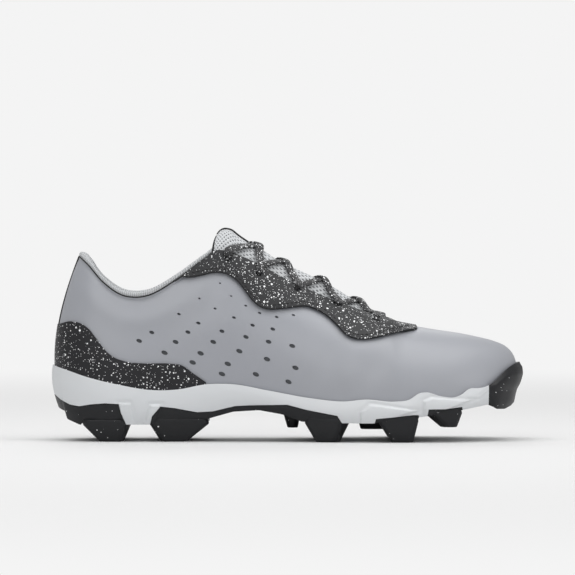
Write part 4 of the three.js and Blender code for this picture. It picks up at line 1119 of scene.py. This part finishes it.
def makeLace():
    rows = lacePath()
    places = smoothRun([row[0] for row in rows], laceShape["steps"])
    faces = unit(smoothRun([row[1] for row in rows], laceShape["steps"]))
    widths = smoothRun([[row[2]] for row in rows], laceShape["steps"])[:, 0]
    ahead = unit(np.gradient(places, axis=0))
    side = unit(np.cross(faces, ahead))
    for i in range(1, len(side)):
        if np.dot(side[i], side[i - 1]) < 0:
            side[i] = -side[i]
    for _ in range(3):
        side[1:-1] = unit(side[:-2] + side[1:-1] + side[2:])
    side = unit(side - ahead * np.sum(side * ahead, axis=1, keepdims=True))
    top = np.cross(ahead, side)
    around = 14
    rings = []
    for k in range(around + 1):
        angle = 2 * math.pi * k / around
        flatCos = math.copysign(abs(math.cos(angle)) ** 0.6, math.cos(angle))
        flatSin = math.copysign(abs(math.sin(angle)) ** 0.8, math.sin(angle))
        rings.append(places + side * flatCos * widths[:, None] / 2 + top * flatSin * laceShape["thick"] / 2)
    rows = np.stack(rings, axis=1)
    piece = layGrid("lace", closeEnds(rows, places[0], places[-1]), 0.000005)
    smoothShade(piece, 60)
    length = float(np.linalg.norm(np.diff(places, axis=0), axis=1).sum())
    settle(piece, ("lace_crossing_1", "lace_crossing_2", "lace_crossing_3", "lace_crossing_4",
                           "lace_bar"), laceWeave)
    print("lace", len(piece.data.polygons), "length mm", round(length))


makeLace()

# Midsole and outsole are one outer form, split along the side line
soleShape = {"gap": 0.3, "lip": 2.0, "edge": 1.8, "belly": 1.4, "stations": 300, "rises": 26, "bevel": 0.45,
             "soft": 0.8, "groove": 0.45}
# Raised panels of the white side: lower left corner, upper left, upper right, lower right, and how far out
solePanels = (
    ((43.0, 24.6), (50.2, 24.6), (53.2, 9.0), (46.0, 9.0), 1.1),
    ((63.2, 23.6), (70.0, 23.6), (66.0, 9.0), (58.2, 9.0), 1.1),
    ((195.5, 8.0), (196.5, 19.6), (202.5, 24.4), (232.0, 20.2), 1.2),
    ((236.6, 15.0), (236.0, 26.6), (241.0, 28.6), (266.0, 26.6), 1.2),
    ((272.5, 22.0), (272.5, 29.0), (278.0, 33.5), (281.0, 22.0), -0.8),
)


# The toe bumper's flats and its pinched waist: height above the ground and how far out, in millimetres
bumperSteps = ((20, 1.6), (24, 2.0), (28, 1.2), (32, 0.7), (36, 1.6), (42, 2.1), (47, 1.4), (52, 0.1))


def panelMask(x, z, corners, soft):
    corners = np.array(corners, dtype=float)
    centre = corners.mean(axis=0)
    inside = np.full(np.shape(x), 1e9)
    for k in range(4):
        a, b = corners[k], corners[(k + 1) % 4]
        normal = np.array([-(b - a)[1], (b - a)[0]])
        normal = normal / np.linalg.norm(normal)
        if np.dot(centre - a, normal) < 0:
            normal = -normal
        inside = np.minimum(inside, (x - a[0]) * normal[0] + (z - a[1]) * normal[1])
    return smooth(inside, 0, soft), np.exp(-((inside + soft) / soft) ** 2)


def soleRelief(points):
    x, z = points[:, 0], points[:, 2]
    relief = np.zeros(len(x))
    for panel in solePanels:
        face, groove = panelMask(x, z, panel[:4], soleShape["soft"])
        relief += panel[4] * face - soleShape["groove"] * groove
    heights, outs = np.array(bumperSteps).T
    return relief + smooth(x, 277, 281) * np.interp(z, heights, outs)


def soleColumn(rounds, downs, offset=0):
    foot, _, _, _, out = section(rounds)
    reach = soleShape["gap"] + soleShape["lip"]
    lipUp = crossing(rounds, lambda share: curveHeight(lipLine, share), reach)
    lip = wall(rounds, lipUp, reach)
    edge = foot + out * soleShape["edge"]
    edge[:, 2] = lineHeight(plateLine, edge[:, 0] / shoe["length"])
    drop = (lip[:, 2] - edge[:, 2])[:, None]
    up = np.array([[0.0, 0.0, 1.0]])
    belly = lip + out * soleShape["belly"] - up * 0.34 * drop
    under = edge + out * 2 * soleShape["edge"] + up * 0.36 * drop
    columns = []
    for down in downs:
        point = bezier(lip, belly, under, edge, np.full(len(foot), down))
        fade = min(1.0, 8 * down)
        columns.append(point + out * ((soleRelief(point) * fade)[:, None] + offset))
    return np.stack(columns, axis=1)


def soleForm(name):
    rounds = np.linspace(0, 1, soleShape["stations"])
    downs = np.linspace(0, 1, soleShape["rises"])
    outer = soleColumn(rounds, downs)
    inner = soleColumn(2 - rounds, downs)[:, ::-1]
    return layHalves(name, outer, inner)


# The last as a filled form, to hollow the sole with
def lastForm(name, offset, sunk):
    rounds = np.linspace(0, 1, 220)
    ups = np.linspace(0, 0.75, 18)
    sides = []
    for sideRounds in (rounds, 2 - rounds):
        points = wall(np.repeat(sideRounds, len(ups)), np.tile(ups, len(rounds)), offset)
        points = points.reshape(len(rounds), len(ups), 3)
        foot = points[:, :1].copy()
        foot[:, :, 2] -= sunk
        sides.append(np.concatenate([foot, points], axis=1))
    outer, inner = sides[0][:, ::-1], sides[1]
    return layHalves(name, outer, inner)


# A prism across the shoe under a side line
def underPrism(name, line, lift):
    size, points = line
    xs = np.array([p[0] for p in points]) * shoe["length"]
    zs = np.array([p[1] for p in points]) * shoe[size] + lift
    depth = -20.0
    wide = 150.0
    rows = []
    for y in (-wide, wide):
        low = np.stack([xs[::-1], np.full(len(xs), y), np.full(len(xs), depth)], axis=1)
        top = np.stack([xs, np.full(len(xs), y), zs], axis=1)
        rows.append(np.concatenate([top, low, top[:1]]))
    rows = np.array(rows)
    piece = layGrid(name, rows, 0.000001)
    selectOnly(piece)
    bpy.ops.object.mode_set(mode="EDIT")
    bpy.ops.mesh.select_mode(type="EDGE")
    bpy.ops.mesh.select_all(action="DESELECT")
    bpy.ops.mesh.select_non_manifold()
    bpy.ops.mesh.edge_face_add()
    bpy.ops.mesh.select_all(action="SELECT")
    bpy.ops.mesh.fill_holes(sides=0)
    bpy.ops.mesh.normals_make_consistent(inside=False)
    bpy.ops.object.mode_set(mode="OBJECT")
    return piece


studShape = {"reach": 3.4, "corner": 2.5, "bevel": 0.9, "above": 3.0}
# Edge studs: rear and front at the plate, rear and front of the foot, the foot's height, depth inwards
edgeStuds = (
    (0.067, 0.162, 0.102, 0.149, 0, 19), (0.210, 0.335, 0.234, 0.288, 0, 18),
    (0.536, 0.618, 0.558, 0.602, 0, 19), (0.690, 0.776, 0.719, 0.765, 0, 19),
    (0.802, 0.868, 0.832, 0.860, 9.5, 17),
)
centreStuds = ((0.490, 0.528, 0.500, 0.522, 8, 16), (0.648, 0.714, 0.655, 0.708, 7, 18))


def lug(name, centre, forward, out, levels):
    corner = studShape["corner"]
    rings = []
    for z, rear, front, near, far in levels:
        outline = ((rear + corner, near), (front - corner, near), (front, near - corner),
                   (front, far + corner), (front - corner, far), (rear + corner, far),
                   (rear, far + corner), (rear, near - corner), (rear + corner, near))
        middle = np.array([centre[0], centre[1], z])
        ring = [middle + forward * ahead + out * aside for ahead, aside in outline]
        rings.append(ring)
    rings = np.array(rings)
    rings = closeEnds(rings, rings[0, :-1].mean(axis=0), rings[-1, :-1].mean(axis=0))
    piece = layGrid(name, rings, 0.000005)
    bevelEdges(piece, studShape["bevel"], 28, 3)
    return piece


def makeStuds():
    pieces = []
    for rear, front, footRear, footFront, ground, deep in edgeStuds:
        middle = (rear + front) / 2
        half = roundAt(0, middle)
        for spot in (half, 2 - half):
            foot, _, _, _, out = (part[0] for part in section([spot]))
            forward = np.array([-out[1], out[0], 0])
            forward = forward if forward[0] > 0 else -forward
            stretch = shoe["length"] / forward[0]
            plate = float(lineHeight(plateLine, middle))
            levels = [
                (ground, (footRear - middle) * stretch, (footFront - middle) * stretch,
                 0.5, 0.5 - 0.72 * deep),
                (plate, (rear - middle) * stretch, (front - middle) * stretch, studShape["reach"], -deep),
                (plate + studShape["above"], (rear - middle) * stretch + 1, (front - middle) * stretch - 1,
                 studShape["reach"], -deep),
            ]
            pieces.append(lug("edgeStud", foot, forward, out, levels))
    for rear, front, footRear, footFront, ground, deep in centreStuds:
        middle = (rear + front) / 2
        half = roundAt(0, middle)
        both = section([half, 2 - half])[0]
        plate = float(lineHeight(plateLine, middle))
        size = shoe["length"]
        levels = [
            (ground, (footRear - middle) * size, (footFront - middle) * size, 0.4 * deep, -0.4 * deep),
            (plate + studShape["above"], (rear - middle) * size, (front - middle) * size,
             0.5 * deep, -0.5 * deep),
        ]
        ahead, aside = np.array([1.0, 0, 0]), np.array([0, 1.0, 0])
        pieces.append(lug("centreStud", both.mean(axis=0), ahead, aside, levels))
    return pieces


def makeSole():
    outsole = soleForm("outsolePlate")
    cut(outsole, underPrism("rubberRange", splitLine, 0), "INTERSECT")
    cut(outsole, lastForm("lastHollow", soleShape["gap"], soleShape["gap"]))
    bevelEdges(outsole, soleShape["bevel"], 50)
    outsole = joinPieces([outsole] + makeStuds(), "outsolePlate")
    smoothShade(outsole, 35)
    settle(outsole, ("outsole",), darkRubber)
    print("outsole", len(outsole.data.polygons))
    midsole = soleForm("midsoleTray")
    cut(midsole, underPrism("rubberSpace", splitLine, soleShape["gap"]))
    cut(midsole, lastForm("lastHollow", soleShape["gap"], soleShape["gap"]))
    bevelEdges(midsole, soleShape["bevel"], 50)
    smoothShade(midsole, 35)
    settle(midsole, ("midsole",), whiteFoam)
    print("midsole", len(midsole.data.polygons))


makeSole()

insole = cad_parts["insole"]
insole.data.materials.clear()
insole.data.materials.append(footMesh)

floorShape = {"size": 30.0, "near": 0.45, "far": 1.5}


def makeFloor():
    bpy.ops.object.select_all(action="DESELECT")
    bpy.ops.mesh.primitive_plane_add(size=floorShape["size"])
    floor = bpy.context.object
    floor.name = "floor"
    material, tree, shader = newMaterial("paleFloor", (0.735, 0.735, 0.735), 0.7)
    glow = tree.nodes.new("ShaderNodeEmission")
    glow.inputs["Color"].default_value = (*studio["background"], 1)
    place = placeNode(tree)
    length = tree.nodes.new("ShaderNodeVectorMath")
    length.operation = "LENGTH"
    tree.links.new(place, length.inputs[0])
    ramp = tree.nodes.new("ShaderNodeMapRange")
    ramp.interpolation_type = "SMOOTHSTEP"
    ramp.inputs["From Min"].default_value = floorShape["near"]
    ramp.inputs["From Max"].default_value = floorShape["far"]
    tree.links.new(length.outputs["Value"], ramp.inputs["Value"])
    mix = tree.nodes.new("ShaderNodeMixShader")
    tree.links.new(ramp.outputs["Result"], mix.inputs["Fac"])
    tree.links.new(shader.outputs["BSDF"], mix.inputs[1])
    tree.links.new(glow.outputs["Emission"], mix.inputs[2])
    tree.links.new(mix.outputs["Shader"], tree.nodes["Material Output"].inputs["Surface"])
    floor.data.materials.append(material)


studio = {
    "ringRadius": 9.0, "ringTall": 9.0,
    "background": (0.905, 0.905, 0.905), "worldStrength": 0.46,
    "lights": (
        ("top", (0.05, -0.15, 1.5), (0.05, 0, 0.05), 2.0, 1.4, 19),
        ("front", (-0.5, -2.2, 1.3), (0, 0, 0.06), 1.4, 0.9, 11),
        ("toe", (1.8, -0.9, 0.9), (0.1, 0, 0.05), 0.8, 0.8, 5),
        ("back", (-0.3, 1.9, 1.3), (0, 0, 0.05), 1.4, 1.0, 8),
    ),
}


# A far pale wall all round, seen by the camera but giving no light
def makeBackdrop():
    bpy.ops.object.select_all(action="DESELECT")
    bpy.ops.mesh.primitive_cylinder_add(vertices=64, radius=studio["ringRadius"], depth=studio["ringTall"],
                                        end_fill_type="NOTHING")
    ring = bpy.context.object
    ring.name = "backdrop"
    material = bpy.data.materials.new("paleWall")
    material.use_nodes = True
    tree = material.node_tree
    glow = tree.nodes.new("ShaderNodeEmission")
    glow.inputs["Color"].default_value = (*studio["background"], 1)
    tree.links.new(glow.outputs["Emission"], tree.nodes["Material Output"].inputs["Surface"])
    ring.data.materials.append(material)
    ring.visible_diffuse = False
    ring.visible_glossy = False
    ring.visible_shadow = False


def makeStudio():
    world = bpy.data.worlds.new("studio")
    bpy.context.scene.world = world
    world.use_nodes = True
    ground = world.node_tree.nodes["Background"]
    ground.inputs["Color"].default_value = (*studio["background"], 1)
    ground.inputs["Strength"].default_value = studio["worldStrength"]
    for name, place, target, wide, tall, power in studio["lights"]:
        lamp = bpy.data.lights.new(name, "AREA")
        lamp.shape = "RECTANGLE"
        lamp.size = wide
        lamp.size_y = tall
        lamp.energy = power
        holder = bpy.data.objects.new(name, lamp)
        holder.location = place
        holder.rotation_euler = (Vector(target) - Vector(place)).to_track_quat("-Z", "Y").to_euler()
        bpy.context.collection.objects.link(holder)
    bpy.context.scene.view_settings.view_transform = "Standard"


# The photo is 575 pixels wide, 0.64 mm each; its left edge is 53.1 pixels before the heel
photoView = {"pixels": 575, "scale": 0.64, "middleScale": 0.637, "heelPixel": 53.1, "floorPixel": 440.5,
             "distance": 5.0, "elevation": 1.2, "nearSide": -0.045}


def makeCamera():
    scale = photoView["scale"]
    centre = photoView["pixels"] / 2
    x = (centre - photoView["heelPixel"]) * scale / 1000 + shift[0] / 1000
    z = (photoView["floorPixel"] - centre) * scale / 1000
    target = Vector((x, photoView["nearSide"], z))
    rise = math.radians(photoView["elevation"])
    distance = photoView["distance"]
    lens = bpy.data.cameras.new("photoCamera")
    camera = bpy.data.objects.new("photoCamera", lens)
    camera.location = target + Vector((0, -math.cos(rise), math.sin(rise))) * distance
    camera.rotation_euler = (target - camera.location).to_track_quat("-Z", "Y").to_euler()
    lens.sensor_width = 36
    across = photoView["pixels"] * photoView["middleScale"] / 1000
    lens.lens = lens.sensor_width * (distance - photoView["nearSide"]) / across
    lens.clip_start = 0.05
    bpy.context.collection.objects.link(camera)
    bpy.context.scene.camera = camera


makeFloor()
makeBackdrop()
makeStudio()
makeCamera()

print("scene ready")
